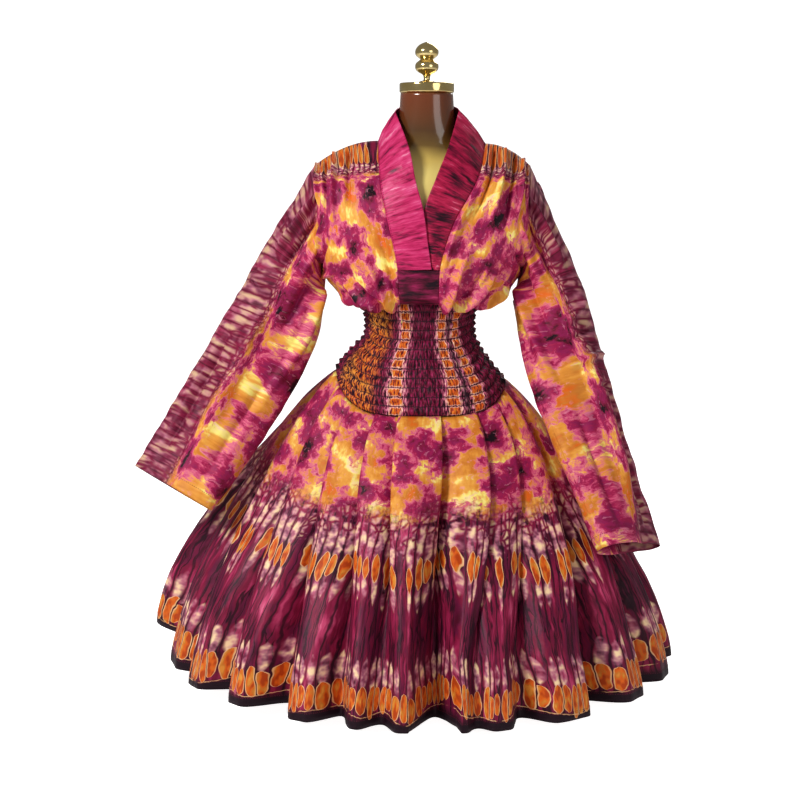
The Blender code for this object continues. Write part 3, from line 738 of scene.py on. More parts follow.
# %% Sizes and tables
CLOTH_THICKNESS = 0.0011
RIDGE_GAIN = 2.0  # how much higher a ridge is than its row says
TROUGH_GAIN = 1.6  # how much deeper a trough is


class Table:
    """Rows of named columns, read between rows on a smooth line. The first column is the key."""

    def __init__(self, columns, rows):
        self.names = columns.split()
        self.rows = sorted(rows)
        self.keys = [row[0] for row in self.rows]

    def at(self, name, key):
        column = self.names.index(name)
        keys = self.keys
        values = [row[column] for row in self.rows]
        key = min(max(key, keys[0]), keys[-1])
        last = len(keys) - 2
        k = next((n for n in range(last) if key <= keys[n + 1]), last)
        span = keys[k + 1] - keys[k]
        share = (key - keys[k]) / span

        def slope(n):
            low, high = max(n - 1, 0), min(n + 1, len(keys) - 1)
            return (values[high] - values[low]) / (keys[high] - keys[low])

        start, end = slope(k) * span, slope(k + 1) * span
        rise = values[k + 1] - values[k]
        cubic = share**2 * (3 * rise - 2 * start - end) + share**3 * (start + end - 2 * rise)
        return values[k] + share * start + cubic


TILT = Table(
    "z degrees",
    [
        (0.00, 33), (0.45, 36), (0.55, 42), (0.60, 34), (0.645, 8), (0.70, -4), (0.80, -4),
        (0.88, 8), (0.93, 24), (0.96, 42), (0.99, 52), (1.02, 40), (1.06, 20),
    ],
)
print("tilt of the cloth at the bust:", round(TILT.at("degrees", 0.90)), "degrees")

# %% [markdown]
# ## From a flat cut to a worn panel
# Every panel starts as a flat grid. A function bends it into place, a second one adds its creases along the
# cloth's own outward direction, and the flat coordinates are kept as a UV map in metres for the print. The
# thin wall is a Solidify modifier that grows inwards, so the outer face stays where the maker drew it.

# %% Cloth helpers
def smooth(value, low, high):
    share = min(max((value - low) / (high - low), 0.0), 1.0)
    return share * share * (3 - 2 * share)


def bump(x):
    """A rounded ridge of height 1 between -1 and 1."""
    return 0.5 * (1 + math.cos(math.pi * x)) if abs(x) < 1 else 0.0


def ripple(x, y, seed):
    """Smooth noise between about -1 and 1."""
    return noise.noise(Vector((x, y, seed)))


def edge_point(table, v):
    return Vector([table.at(n, v) for n in "xyz"])


def out_direction(point):
    """Away from the body at a point of the cloth, tilted as the cloth is at that height."""
    flat = Vector((point.x / 0.14**2, point.y / 0.12**2, 0)).normalized()
    tilt = math.radians(TILT.at("degrees", point.z))
    return flat * math.cos(tilt) + Vector((0, 0, math.sin(tilt)))


def creased(rows, size, u, v):
    """The height of listed creases. A row is (u0, v0, u1, v1, half width, height): it is full at its
    start where that lies on a border, and fades towards its end. A ridge is round and a trough is sharp.
    size is the panel's in metres."""
    total = 0.0
    for u0, v0, u1, v1, half, height in rows:
        across, along = (u1 - u0) * size[0], (v1 - v0) * size[1]
        x, y = (u - u0) * size[0], (v - v0) * size[1]
        share = (x * across + y * along) / (across**2 + along**2)
        if not -0.1 < share < 1.1:
            continue
        inside = min(max(share, 0.0), 1.0)
        away = math.hypot(x - inside * across, y - inside * along) / half
        if away < 1:
            border = min(u0, v0, 1 - u0, 1 - v0) < 0.02
            start = 1.0 if border else smooth(inside, 0.0, 0.3)
            shape = (1 - away**2) ** 2 if height > 0 else (1 - away) ** 1.5
            gain = RIDGE_GAIN if height > 0 else TROUGH_GAIN
            total += gain * height * shape * start * (1 - smooth(inside, 0.60, 1.0))
    return total


def linked(name, bm, materials):
    mesh = bpy.data.meshes.new(name)
    bm.to_mesh(mesh)
    bm.free()
    for material in materials:
        mesh.materials.append(material)
    mesh.shade_smooth()
    item = bpy.data.objects.new(name, mesh)
    bpy.context.scene.collection.objects.link(item)
    return item


def cloth(name, columns, rows, place, flat, core, relief, material, thickness=CLOTH_THICKNESS):
    """A panel: place(u, v) bends the grid, flat(u, v) is the cut in metres, and core(u, v) lies inside."""
    bm = bmesh.new()
    bmesh.ops.create_grid(bm, x_segments=columns, y_segments=rows, size=0.5)
    layer = bm.loops.layers.uv.new("cloth")
    bm.verts.ensure_lookup_table()
    shares = [(vert.co.x + 0.5, vert.co.y + 0.5) for vert in bm.verts]
    cuts = [flat(u, v) for u, v in shares]
    for vert, (u, v) in zip(bm.verts, shares):
        vert.co = place(u, v)
    for face in bm.faces:
        for loop in face.loops:
            loop[layer].uv = cuts[loop.vert.index]
    bm.normal_update()
    outward = sum(vert.normal.dot(vert.co - core(*share)) for vert, share in zip(bm.verts, shares))
    if outward < 0:
        bmesh.ops.reverse_faces(bm, faces=bm.faces)
        bm.normal_update()
    normals = [vert.normal.copy() for vert in bm.verts]
    for vert, normal, (u, v) in zip(bm.verts, normals, shares):
        vert.co += normal * relief(u, v)
    item = linked(name, bm, [material])
    wall = item.modifiers.new("wall", "SOLIDIFY")
    wall.thickness = thickness
    wall.offset = -1
    return item


def worn(item, slot, node, flat, held, rests_on, area=None):
    """Attaches a panel to the root, hides the solid that it replaces and prints its area beside that of its
    cut.
    """
    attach(item, "root")
    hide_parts(node)
    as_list(rests_on)
    made = sum(face.area for face in item.data.polygons)
    cut = area or flat[0] * flat[1]
    print(item.name, "cloth", round(made, 3), "m2 from a cut of", round(cut, 3), "m2")


# %% [markdown]
# ## The dress form
# A display form is a padded torso under lacquer, with a turned brass cap and knob. Rings of the right
# width and depth are bridged into one smooth skin. The cap and the knob are turned from a profile, as on a
# lathe.

# %% The form, its cap and its knob
NECK_TOP = 1.0815
CAP_RADIUS = 0.050
CAP_ROUNDING = 0.003
KNOB_STEPS = 72
FORM = Table(
    "z middle wide to_front to_back",
    [
        (0.400, -0.002, 0.118, 0.090, 0.102),
        (0.450, -0.002, 0.142, 0.106, 0.120),
        (0.520, -0.003, 0.146, 0.110, 0.121),
        (0.570, -0.004, 0.128, 0.100, 0.106),
        (0.600, -0.004, 0.107, 0.090, 0.090),
        (0.630, -0.0045, 0.0960, 0.0860, 0.0800),
        (0.662, -0.0045, 0.0976, 0.0886, 0.0806),
        (0.700, -0.003, 0.1005, 0.0935, 0.0840),
        (0.780, 0.000, 0.121, 0.108, 0.092),
        (0.860, 0.002, 0.138, 0.118, 0.100),
        (0.915, 0.004, 0.156, 0.100, 0.098),
        (0.942, 0.006, 0.160, 0.078, 0.086),
        (0.965, 0.007, 0.130, 0.054, 0.066),
        (0.985, 0.008, 0.080, 0.046, 0.053),
        (1.005, 0.008, 0.062, 0.0465, 0.051),
        (1.035, 0.008, 0.0520, 0.047, 0.050),
        (NECK_TOP, 0.008, 0.0480, 0.046, 0.048),
    ],
)
NECK_MIDDLE = 0.008
TURN_STEPS = 96
FORM_RINGS = 130
KNOB = Table(
    "z radius",
    [
        (0.000, 0.0130), (0.0025, 0.0130), (0.0040, 0.0070), (0.0110, 0.0062), (0.0150, 0.0085),
        (0.0185, 0.0150), (0.0230, 0.0200), (0.0290, 0.0215), (0.0350, 0.0200), (0.0395, 0.0150),
        (0.0420, 0.0120), (0.0445, 0.0150), (0.0490, 0.0200), (0.0555, 0.0215), (0.0620, 0.0195),
        (0.0680, 0.0140), (0.0715, 0.0075), (0.0735, 0.0020),
    ],
)


def form_shell():
    bm = bmesh.new()
    low, high = FORM.rows[0][0], FORM.rows[-1][0]
    loops = []
    for n in range(FORM_RINGS + 1):
        z = low + (high - low) * n / FORM_RINGS
        ring = bmesh.ops.create_circle(bm, segments=TURN_STEPS, radius=1.0)["verts"]
        middle, wide, front, back = (FORM.at(name, z) for name in FORM.names[1:])
        for vert in ring:
            depth = front if vert.co.y < 0 else back
            vert.co = Vector((middle + vert.co.x * wide, vert.co.y * depth, z))
        loops.append([edge for vert in ring for edge in vert.link_edges])
    for lower, upper in zip(loops, loops[1:]):
        bmesh.ops.bridge_loops(bm, edges=list({*lower, *upper}))
    bmesh.ops.holes_fill(bm, edges=[edge for edge in bm.edges if edge.is_boundary])
    bmesh.ops.recalc_face_normals(bm, faces=bm.faces)
    return linked("form_shell", bm, [LACQUER])


def turned(name, profile, material):
    """A lathe piece from (radius, z) pairs that start and end on the axis of the neck."""
    bm = bmesh.new()
    verts = [bm.verts.new((radius, 0, z)) for radius, z in profile]
    edges = [bm.edges.new(pair) for pair in zip(verts, verts[1:])]
    bmesh.ops.spin(bm, geom=verts + edges, cent=(0, 0, 0), axis=(0, 0, 1), angle=2 * math.pi,
                   steps=TURN_STEPS, use_merge=True)
    bmesh.ops.remove_doubles(bm, verts=bm.verts, dist=1e-6)
    bmesh.ops.recalc_face_normals(bm, faces=bm.faces)
    bmesh.ops.translate(bm, verts=bm.verts, vec=(NECK_MIDDLE, 0, 0))
    item = linked(name, bm, [material])
    item.data.set_sharp_from_angle(angle=math.radians(40))
    return item


shell = form_shell()
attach(shell, "root")
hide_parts("form_torso")

cap_low, cap_high = (corner.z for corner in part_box("neck_cap"))
rounding = [math.radians(90 * n / 6) for n in range(7)]
rim = CAP_ROUNDING
wide = CAP_RADIUS - rim
cap_profile = [(0, cap_low)]
cap_profile += [(wide + rim * math.sin(a), cap_low + rim - rim * math.cos(a)) for a in rounding]
cap_profile += [(wide + rim * math.cos(a), cap_high - rim + rim * math.sin(a)) for a in rounding]
cap_profile += [(0.034, cap_high), (0.033, cap_high - 0.0012), (0, cap_high - 0.0012)]
cap = turned("brass_cap", cap_profile, BRASS)

knob_low, knob_high = (corner.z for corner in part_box("finial"))
knob_profile = [(0, knob_low)]
for n in range(KNOB_STEPS + 1):
    z = KNOB.rows[-1][0] * n / KNOB_STEPS
    knob_profile.append((KNOB.at("radius", z), knob_low + z))
knob_profile.append((0, knob_high))
knob = turned("brass_knob", knob_profile, BRASS)
for item, node in ((cap, "neck_cap"), (knob, "finial")):
    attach(item, "root")
    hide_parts(node)
print("form:", len(shell.data.polygons), "faces; knob top at", round(knob_high, 3), "m")

# %% [markdown]
# ## The waist and the hem
# Two lines carry the skirt: the seam under the waistband and the hem. Every point of either is named by
# its turn from the front, in degrees, growing towards the wearer's left. The seam dips at the front and
# rises at the sides, and the hem has its own reach and height at each turn.

# %% The waist and the hem
SEAM_FRONT, SEAM_BACK, SEAM_RIGHT, SEAM_LEFT = 0.502, 0.530, 0.575, 0.556
BAND = Table(
    "z to_right to_left to_front to_back",
    [
        (0.704, 0.110, 0.103, 0.098, 0.088),
        (0.680, 0.107, 0.098, 0.094, 0.085),
        (0.655, 0.105, 0.096, 0.091, 0.083),
        (0.635, 0.110, 0.099, 0.092, 0.086),
        (0.610, 0.134, 0.112, 0.100, 0.098),
        (0.585, 0.155, 0.131, 0.109, 0.112),
        (0.555, 0.166, 0.155, 0.119, 0.124),
        (0.530, 0.170, 0.164, 0.124, 0.129),
        (0.495, 0.172, 0.168, 0.128, 0.132),
    ],
)
HEM = Table(
    "turn reach z",
    [
        (-180, 0.470, 0.030),
        (-140, 0.485, 0.045),
        (-104, 0.525, 0.085),
        (-82, 0.470, 0.030),
        (-45, 0.455, 0.024),
        (0, 0.455, 0.014),
        (45, 0.460, 0.018),
        (90, 0.472, 0.034),
        (135, 0.470, 0.040),
        (180, 0.470, 0.030),
    ],
)


def around(turn, to_right, to_left, to_front, to_back):
    """A point of a level section, by its turn in degrees from the front."""
    angle = math.radians(turn)
    side = to_left if math.sin(angle) > 0 else to_right
    depth = to_front if math.cos(angle) > 0 else to_back
    return Vector((side * math.sin(angle), -depth * math.cos(angle), 0))


def band_seam_z(turn):
    side = abs(math.sin(math.radians(turn))) ** 5
    low = SEAM_FRONT if math.cos(math.radians(turn)) > 0 else SEAM_BACK
    high = SEAM_RIGHT if math.sin(math.radians(turn)) < 0 else SEAM_LEFT
    return low + (high - low) * side


def band_point(turn, down):
    """A point of the waistband without its gathers: down is 0 at its top and 1 at its lower seam."""
    top = BAND.rows[-1][0]
    z = top + (band_seam_z(turn) - top) * down
    place = around(turn, *(BAND.at(n, z) for n in BAND.names[1:]))
    place.z = z
    return place


print("shirred waist:", round(BAND.at("to_left", 0.655) + BAND.at("to_right", 0.655), 3), "m wide")

# %% [markdown]
# ## The pleats
# The skirt is a long strip that is pleated into the waist seam. The pleats are pressed away from the centre
# front, where one broad box face lies on top. A pleat has two edges at the waist: an outer one that shows,
# and an inner one that lies under its neighbour. Between edges the cloth runs straight.

# %% The pleats
# Turn of the fold's edge at the waist, turn of its valley at the hem, the valley's depth and half width in
# degrees, and the side to which the fold points.
PLEATS = [
    (-101, -91, 0.060, 6, -1),
    (-84, -73, 0.052, 5, -1),
    (-66, -55, 0.062, 6, -1),
    (-49.4, -37, 0.074, 6, -1),
    (-30.6, -21, 0.062, 4.5, -1),
    (-15.6, -10, 0.040, 4, -1),
    (11.8, 3, 0.098, 6.5, 1),
    (36.8, 12, 0.022, 3, 1),
    (54.3, 24, 0.056, 5, 1),
    (70, 45, 0.076, 6, 1),
    (84, 63, 0.054, 5, 1),
    (97, 81, 0.064, 6, 1),
    (111, 99, 0.060, 6, 1),
    (125, 116, 0.066, 6, 1),
    (140, 134, 0.060, 6, 1),
    (154, 152, 0.068, 6, 1),
    (169, 169, 0.070, 7, 0),
    (186, 187, 0.056, 6, -1),
    (202, 204, 0.066, 6, -1),
    (218, 222, 0.058, 6, -1),
    (232, 239, 0.062, 6, -1),
    (246, 253, 0.046, 5, -1),
]
FOLD_HALF = 0.16  # half of the hidden fold, as a share of the cloth between two pleats
FOLD_BLUNT = 0.022  # how far a fold's edge is rounded, as the same share
WIDEN = 1.2  # the cloth rounds a valley a little more than its solid
TUCKED = 0.85  # how far a fold goes back under its neighbour, as a share of the way to it
LEAST_CLOTH = 0.155  # from one pleat to the next, in metres
FOLD_CLOTH = 0.060  # what a fold takes up
CLOTH_PER_DEGREE = 0.0066  # what each degree of the hem takes up


def pleat(n):
    """The pleat of that number, counted on round the body."""
    turns, k = divmod(n, len(PLEATS))
    top, hem, depth, half, lay = PLEATS[k]
    return top + 360 * turns, hem + 360 * turns, depth, half, lay


def cloth_between(n):
    """The length of cloth from one pleat to the next."""
    return max(LEAST_CLOTH, FOLD_CLOTH + CLOTH_PER_DEGREE * (pleat(n + 1)[1] - pleat(n)[1]))


def cloth_before(strip):
    """Metres of cloth from the first pleat to a place on the strip."""
    n = math.floor(strip)
    whole = sum(cloth_between(k) for k in range(n)) - sum(cloth_between(k) for k in range(n, 0))
    return whole + (strip - n) * cloth_between(n)


def knots(n):
    """(strip, turn, layer) of a pleat's two edges at the waist; layer is 0 outside and 1 inside."""
    top, _, _, _, lay = pleat(n)
    if lay == 0:
        return [(n, top, 0.5)]
    beside = pleat(n - lay)
    back = abs(top - beside[0]) * (TUCKED if beside[4] == lay else TUCKED / 2)
    inner = (n + lay * FOLD_HALF, top - lay * back, 1.0)
    outer = (n - lay * FOLD_HALF, top, 0.0)
    return sorted([inner, outer])


def pressed_fold(strip):
    """(turn, layer) at the waist, on straight lines between the edges of the folds."""
    n = math.floor(strip)
    row = knots(n - 1) + knots(n) + knots(n + 1) + knots(n + 2)
    k = next(k for k in range(len(row) - 1) if strip <= row[k + 1][0])
    (s0, turn0, layer0), (s1, turn1, layer1) = row[k], row[k + 1]
    share = (strip - s0) / (s1 - s0)
    return turn0 + (turn1 - turn0) * share, layer0 + (layer1 - layer0) * share


print("pleats:", len(PLEATS), "in", round(cloth_before(len(PLEATS)), 2), "m of cloth")

# %% [markdown]
# ## The skirt
# From the waist down the folds open, and at the hem they are soft waves. So each place on the strip has two
# turns, one at the waist and one at the hem, and moves from the first to the second on its way down. Its
# depth is that of the pressed layers first, and of the valley between two waves later.

# %% The skirt
SKIRT_SPREAD = 1.45  # how soon the bell widens on its way down
SKIRT_DROP = 1.12  # how soon it falls
SKIRT_LENGTH = 0.62
SKIRT_ROWS = 76
PLEAT_STEPS = 34  # columns of the grid for each pleat
MEAN_CLOTH = 0.17  # from pleat to pleat, for the small waves
PRESSED_TO = 0.80  # share of the length at which nothing is left of the waist's turns
TOP_LAYERS = 0.015  # depth of the folded layers at the waist seam
LOWER_LAYERS = 0.022  # what the layers gain further down


def folded(strip, down):
    """(turn, depth) of a place on the skirt's strip, which is counted in pleats."""
    n = math.floor(strip + 0.5)
    near = strip - n
    _, hem, depth, half, _ = pleat(n)
    pitch = abs(pleat(n + (1 if near > 0 else -1))[1] - hem)
    tight = max(0.0, 1 - down / PRESSED_TO) ** 1.15
    corners = [pressed_fold(strip + shift) for shift in (-FOLD_BLUNT, 0.0, FOLD_BLUNT)]
    waist_turn, layer = (sum(column) / 3 for column in zip(*corners))
    turn = (hem + near * pitch) * (1 - tight) + waist_turn * tight
    valley = depth * bump(near * pitch / (WIDEN * half))
    open_share = smooth(down, 0.02, 0.50)
    pressed = 1 - smooth(down, 0.40, 0.85)
    sewn_flat = 0.35 + 0.65 * smooth(down, 0.0, 0.06)
    layers = (TOP_LAYERS * sewn_flat + LOWER_LAYERS * smooth(down, 0.0, 0.3)) * layer * pressed
    return turn, layers + valley * (0.30 + 0.70 * down**0.7) * open_share


def skirt_point(strip, down):
    turn, depth = folded(strip, down)
    angle = math.radians(turn)
    level = Vector((math.sin(angle), -math.cos(angle), 0))
    wrapped = (turn + 180) % 360 - 180
    hem = level * HEM.at("reach", wrapped)
    hem.z = HEM.at("z", wrapped)
    top = band_point(turn, 1.0)
    place = top.lerp(hem, 1 - (1 - down) ** SKIRT_SPREAD)
    place.z = top.z + (hem.z - top.z) * down**SKIRT_DROP
    sink = out_direction(place).lerp(level, min(1.0, 2 * down)).normalized()
    return place - sink * depth


def strip_at(turn):
    """The place on the strip whose hem lies at a turn, found by halving."""
    low, high = -4.0, 2.0 * len(PLEATS)
    for _ in range(40):
        middle = (low + high) / 2
        if folded(middle, 1.0)[0] < turn:
            low = middle
        else:
            high = middle
    return low


def skirt_relief(strip, down):
    """Small waves that the pleats don't make: loose ones near the hem, and crumples all over."""
    across, along = strip * MEAN_CLOTH, down * SKIRT_LENGTH
    waves = 0.0050 * ripple(across * 15, along * 3.2, 3.0) * smooth(down, 0.2, 0.9)
    crumples = 0.0013 * ripple(across * 40, along * 22, 8.0) * smooth(down, 0.0, 0.15)
    return waves + crumples


SKIRT_COLUMNS = {}  # columns of each half's grid, for its stitches


def skirt_half(name, node, first, last):
    start, end = strip_at(first), strip_at(last)
    columns = SKIRT_COLUMNS[name] = round((end - start) * PLEAT_STEPS)

    def strip(u):
        return start + (end - start) * u

    item = cloth(
        name, columns, SKIRT_ROWS,
        lambda u, v: skirt_point(strip(u), v),
        lambda u, v: (cloth_before(strip(u)), (1 - v) * SKIRT_LENGTH),
        lambda u, v: Vector((0, 0, 0.2)),
        lambda u, v: skirt_relief(strip(u), v),
        PRINT_CLOTH,
    )
    width = cloth_before(end) - cloth_before(start)
    worn(item, "print_cloth", node, (width, SKIRT_LENGTH), "gathered", ["waistband_front", "waistband_back"])


skirt_half("skirt_front_cloth", "skirt_front", -90, 90)
skirt_half("skirt_back_cloth", "skirt_back", 90, 270)

# %% [markdown]
# ## The shirred waistband
# Elastic thread is sewn round a wide band in rows. It draws the cloth in, so each tunnel between two rows
# puffs out and breaks into small gathers. The grid is fine enough to give each gather its own ridge, and
# the ridges wander from row to row.

# %% The waistband
SHIRR_ROWS = 12
SHIRR_HEIGHT = 0.0038
BAND_COLUMNS = 400
BAND_STEPS = 7  # grid rows to a tunnel
WAIST_GIRTH = 0.94
GATHERS_PER_METRE = 205
PUFFS_ROUND = 20  # larger puffs of a tunnel, all round the waist
WAIST_SIZE = (0.47, 0.20)
WAIST_CREASES = [
    (0.27, 0.72, 0.56, 0.50, 0.0060, -0.0026),
    (0.76, 0.40, 0.46, 0.52, 0.0060, -0.0026),
    (0.30, 0.93, 0.52, 0.83, 0.0050, -0.0024),
    (0.76, 0.90, 0.50, 0.84, 0.0050, -0.0024),
    (0.34, 0.35, 0.66, 0.30, 0.0050, -0.0020),
]


def shirred(turn, down):
    arc = WAIST_GIRTH * turn / 360
    row = down * SHIRR_ROWS
    tunnel = math.sin(math.pi * row) ** 2
    puff = 0.62 + 0.38 * math.cos(math.radians(turn) * PUFFS_ROUND + math.pi * round(row))
    fine = ripple(arc * GATHERS_PER_METRE, row * 0.75, 1.0)
    coarse = ripple(arc * 62, row * 0.5, 5.0)
    gathers = 0.0044 * fine + 0.0016 * coarse
    return SHIRR_HEIGHT * tunnel * (0.5 + 0.5 * puff) - 0.0014 + gathers * (0.35 + 0.65 * tunnel)


def waist_half(name, node, first):
    item = cloth(
        name, BAND_COLUMNS, SHIRR_ROWS * BAND_STEPS,
        lambda u, v: band_point(first + 180 * u, v),
        lambda u, v: ((first + 180 * u) / 360 * WAIST_GIRTH, v * SHIRR_PITCH * SHIRR_ROWS),
        lambda u, v: Vector((0, 0, 0.62)),
        lambda u, v: shirred(first + 180 * u, v) + creased(WAIST_CREASES, WAIST_SIZE, u, v),
        WAIST_CLOTH,
        thickness=0.0008,
    )
    worn(item, "waist_cloth", node, (0.47, 0.22), "gathered", ["form_shell"])


waist_half("waistband_front_cloth", "waistband_front", -90)
waist_half("waistband_back_cloth", "waistband_back", 90)

# %% [markdown]
# ## The seams of the bodice
# Four seams shape the bodice: one down each side and round the armhole, one along each half of the neck
# band, and the line of the back. A row of cloth between the band's seam and the side is a quarter of an
# oval, which gives the bust its roundness.

# %% The seams of the bodice
ARMPIT = 1 / 3  # share of the bodice's height at the armpit
BODICE_ROUND = 0.85
SIDE_EDGE = Table(
    "v x y_front y_back z",
    [
        (0.00, 0.108, 0.000, 0.000, 0.7050),
        (0.08, 0.134, 0.000, 0.000, 0.7100),
        (0.18, 0.160, 0.000, 0.000, 0.7240),
        (0.333, 0.178, 0.000, 0.000, 0.7480),
        (0.45, 0.187, -0.046, 0.050, 0.7780),
        (0.60, 0.190, -0.066, 0.072, 0.8260),
        (0.75, 0.192, -0.060, 0.068, 0.8800),
        (0.88, 0.195, -0.038, 0.044, 0.9260),
        (1.00, 0.198, 0.000, 0.000, 0.9500),
    ],
)
RIGHT_FRONT_EDGE = Table(
    "v x y z",
    [
        (0.00, -0.040, -0.0960, 0.7040),
        (0.08, -0.041, -0.1180, 0.7045),
        (0.18, -0.043, -0.1320, 0.7200),
        (0.333, -0.0455, -0.1360, 0.7650),
        (0.45, -0.052, -0.1330, 0.8020),
        (0.60, -0.063, -0.1280, 0.8500),
        (0.75, -0.073, -0.1130, 0.9000),
        (0.88, -0.079, -0.0800, 0.9460),
        (1.00, -0.081, -0.0120, 0.9950),
    ],
)
LEFT_FRONT_EDGE = Table(
    "v x y z",
    [
        (0.00, 0.027, -0.0960, 0.7040),
        (0.08, 0.0275, -0.1190, 0.7030),
        (0.18, 0.028, -0.1330, 0.7170),
        (0.333, 0.030, -0.1360, 0.7650),
        (0.45, 0.038, -0.1330, 0.8000),
        (0.60, 0.056, -0.1270, 0.8500),
        (0.75, 0.083, -0.1090, 0.8970),
        (0.88, 0.104, -0.0780, 0.9400),
        (1.00, 0.115, -0.0120, 0.9900),
    ],
)


def side_edge(v, side, back):
    y = 0.0 if v <= ARMPIT else SIDE_EDGE.at("y_back" if back else "y_front", v)
    return Vector((side * SIDE_EDGE.at("x", v), y, SIDE_EDGE.at("z", v)))


def row_point(inner, outer, t):
    """A point between the neck band's seam and the side, on a quarter of an oval."""
    angle = t * math.pi / 2
    near, far = math.cos(angle) ** BODICE_ROUND, math.sin(angle)
    return Vector(
        (
            inner.x + (outer.x - inner.x) * far,
            outer.y + (inner.y - outer.y) * near,
            outer.z + (inner.z - outer.z) * math.cos(angle) ** 2,
        )
    )


print("shoulders:", round(2 * SIDE_EDGE.at("x", 1.0), 3), "m wide")

# %% [markdown]
# ## The bodice fronts
# Each front is cut wide, gathered into the waist seam so that it puffs over it, and tucked at the
# shoulder. The main creases are placed one by one: they fan out of the waist seam, hang from the shoulder
# tucks and pull from the armpit.

# %% The bodice fronts
FRONT_COLUMNS = 88
BODICE_ROWS = 110
BODICE_SIZE = (0.26, 0.36)
GATHER_FADE = 0.62
GATHER_HEIGHT = 0.007
PRINT_WIDTH = 0.30  # how much of the print lies across a front
FRONT_CREASES = {
    -1: [
        (0.06, 0.00, 0.30, 0.46, 0.014, 0.0075),
        (0.14, 0.00, 0.50, 0.36, 0.012, -0.0065),
        (0.22, 0.00, 0.66, 0.34, 0.013, 0.0070),
        (0.36, 0.00, 0.80, 0.24, 0.011, -0.0055),
        (0.50, 0.00, 0.90, 0.20, 0.011, 0.0050),
        (0.03, 0.02, 0.10, 0.56, 0.010, -0.0050),
        (0.68, 0.00, 0.62, 0.22, 0.010, -0.0040),
        (0.84, 0.00, 0.96, 0.16, 0.010, 0.0040),
        (0.30, 1.00, 0.36, 0.66, 0.011, -0.0070),
        (0.46, 1.00, 0.56, 0.60, 0.012, 0.0060),
        (0.62, 1.00, 0.70, 0.62, 0.010, -0.0065),
        (0.78, 1.00, 0.84, 0.70, 0.010, 0.0050),
        (0.99, 0.40, 0.60, 0.56, 0.014, -0.0060),
        (0.99, 0.46, 0.66, 0.70, 0.012, 0.0050),
        (0.99, 0.34, 0.55, 0.36, 0.013, 0.0060),
    ],
    1: [
        (0.05, 0.00, 0.22, 0.52, 0.013, 0.0075),
        (0.13, 0.00, 0.40, 0.44, 0.012, -0.0070),
        (0.20, 0.00, 0.54, 0.40, 0.013, 0.0065),
        (0.33, 0.00, 0.66, 0.28, 0.011, -0.0060),
        (0.47, 0.00, 0.80, 0.26, 0.012, 0.0060),
        (0.62, 0.00, 0.74, 0.20, 0.010, -0.0045),
        (0.80, 0.00, 0.92, 0.22, 0.011, 0.0045),
        (0.02, 0.30, 0.06, 0.86, 0.010, 0.0050),
        (0.14, 1.00, 0.16, 0.58, 0.011, -0.0080),
        (0.28, 1.00, 0.32, 0.56, 0.013, 0.0070),
        (0.46, 1.00, 0.48, 0.56, 0.011, -0.0085),
        (0.60, 1.00, 0.62, 0.66, 0.012, 0.0060),
        (0.76, 1.00, 0.80, 0.70, 0.010, -0.0060),
        (0.99, 0.38, 0.58, 0.50, 0.014, -0.0065),
        (0.99, 0.44, 0.64, 0.66, 0.012, 0.0050),
        (0.58, 0.12, 0.72, 0.40, 0.012, -0.0060),
    ],
}


def from_shoulder(distance):
    """Where the print stands at a distance from the shoulder: the pointed knots come first, a short
    ladder follows, and the golden ground starts soon after."""
    return 0.266 + distance + 0.13 * smooth(distance, 0.030, 0.066)


def bodice_front(name, node, edge, side, start):
    def place(t, v):
        point = row_point(edge_point(edge, v), side_edge(v, side, False), t)
        fade = max(0.0, 1 - v / GATHER_FADE) * min(1.0, v / 0.1)
        wave = math.sin(math.pi * t) * math.cos(6 * math.pi * t)
        return point + out_direction(point) * GATHER_HEIGHT * fade * wave

    def relief(t, v):
        inside = smooth(v, 0.0, 0.05) * smooth(v, 1.0, 0.97) * smooth(t, 0.0, 0.03) * smooth(t, 1.0, 0.97)
        droop = 0.006 * bump((v - 0.09) / 0.09) * (0.5 + 0.5 * math.sin(math.pi * t))
        small = 0.0022 * ripple(t * 9, v * 12, 2.0 + side) + 0.0026 * ripple(t * 22, v * 5, 4.0) * (1 - v)
        return (creased(FRONT_CREASES[side], BODICE_SIZE, t, v) + droop + small) * inside

    item = cloth(
        name, FRONT_COLUMNS, BODICE_ROWS, place,
        lambda t, v: (start + side * PRINT_WIDTH * t, from_shoulder((1 - v) * BODICE_SIZE[1])),
        lambda t, v: Vector((0, 0, 0.8)),
        relief, PRINT_CLOTH,
    )
    worn(item, "print_cloth", node, (0.25, 0.34), "gathered", ["form_shell"])


bodice_front("bodice_front_right_cloth", "bodice_front_right", RIGHT_FRONT_EDGE, -1, 0.0)
bodice_front("bodice_front_left_cloth", "bodice_front_left", LEFT_FRONT_EDGE, 1, 0.55)

# %% [markdown]
# ## The bodice back
# The back is one piece with gathers and creases of its own. Below the shoulders it crosses the whole back,
# and at the top it ends in two strips beside the neck.

# %% The bodice back
BACK_COLUMNS = 220
BACK_SIZE = (0.62, 0.36)
BACK_PRINT = (1.4, 0.74)  # where the back's print starts on the strip, and its width
SHOULDER_SHARE = 4 / 11  # share of the back's width that each shoulder strip takes
BACK_LINE_REACH = 0.062
BACK_LINE = Table(
    "v y z bulge",
    [
        (0.00, 0.074, 0.7040, 0.014),
        (0.08, 0.090, 0.7080, 0.012),
        (0.18, 0.100, 0.7250, 0.010),
        (0.333, 0.106, 0.7700, 0.008),
        (0.60, 0.112, 0.8650, 0.006),
        (0.75, 0.106, 0.9150, 0.008),
        (0.88, 0.078, 0.9620, 0.030),
        (1.00, -0.012, 0.9930, 0.088),
    ],
)


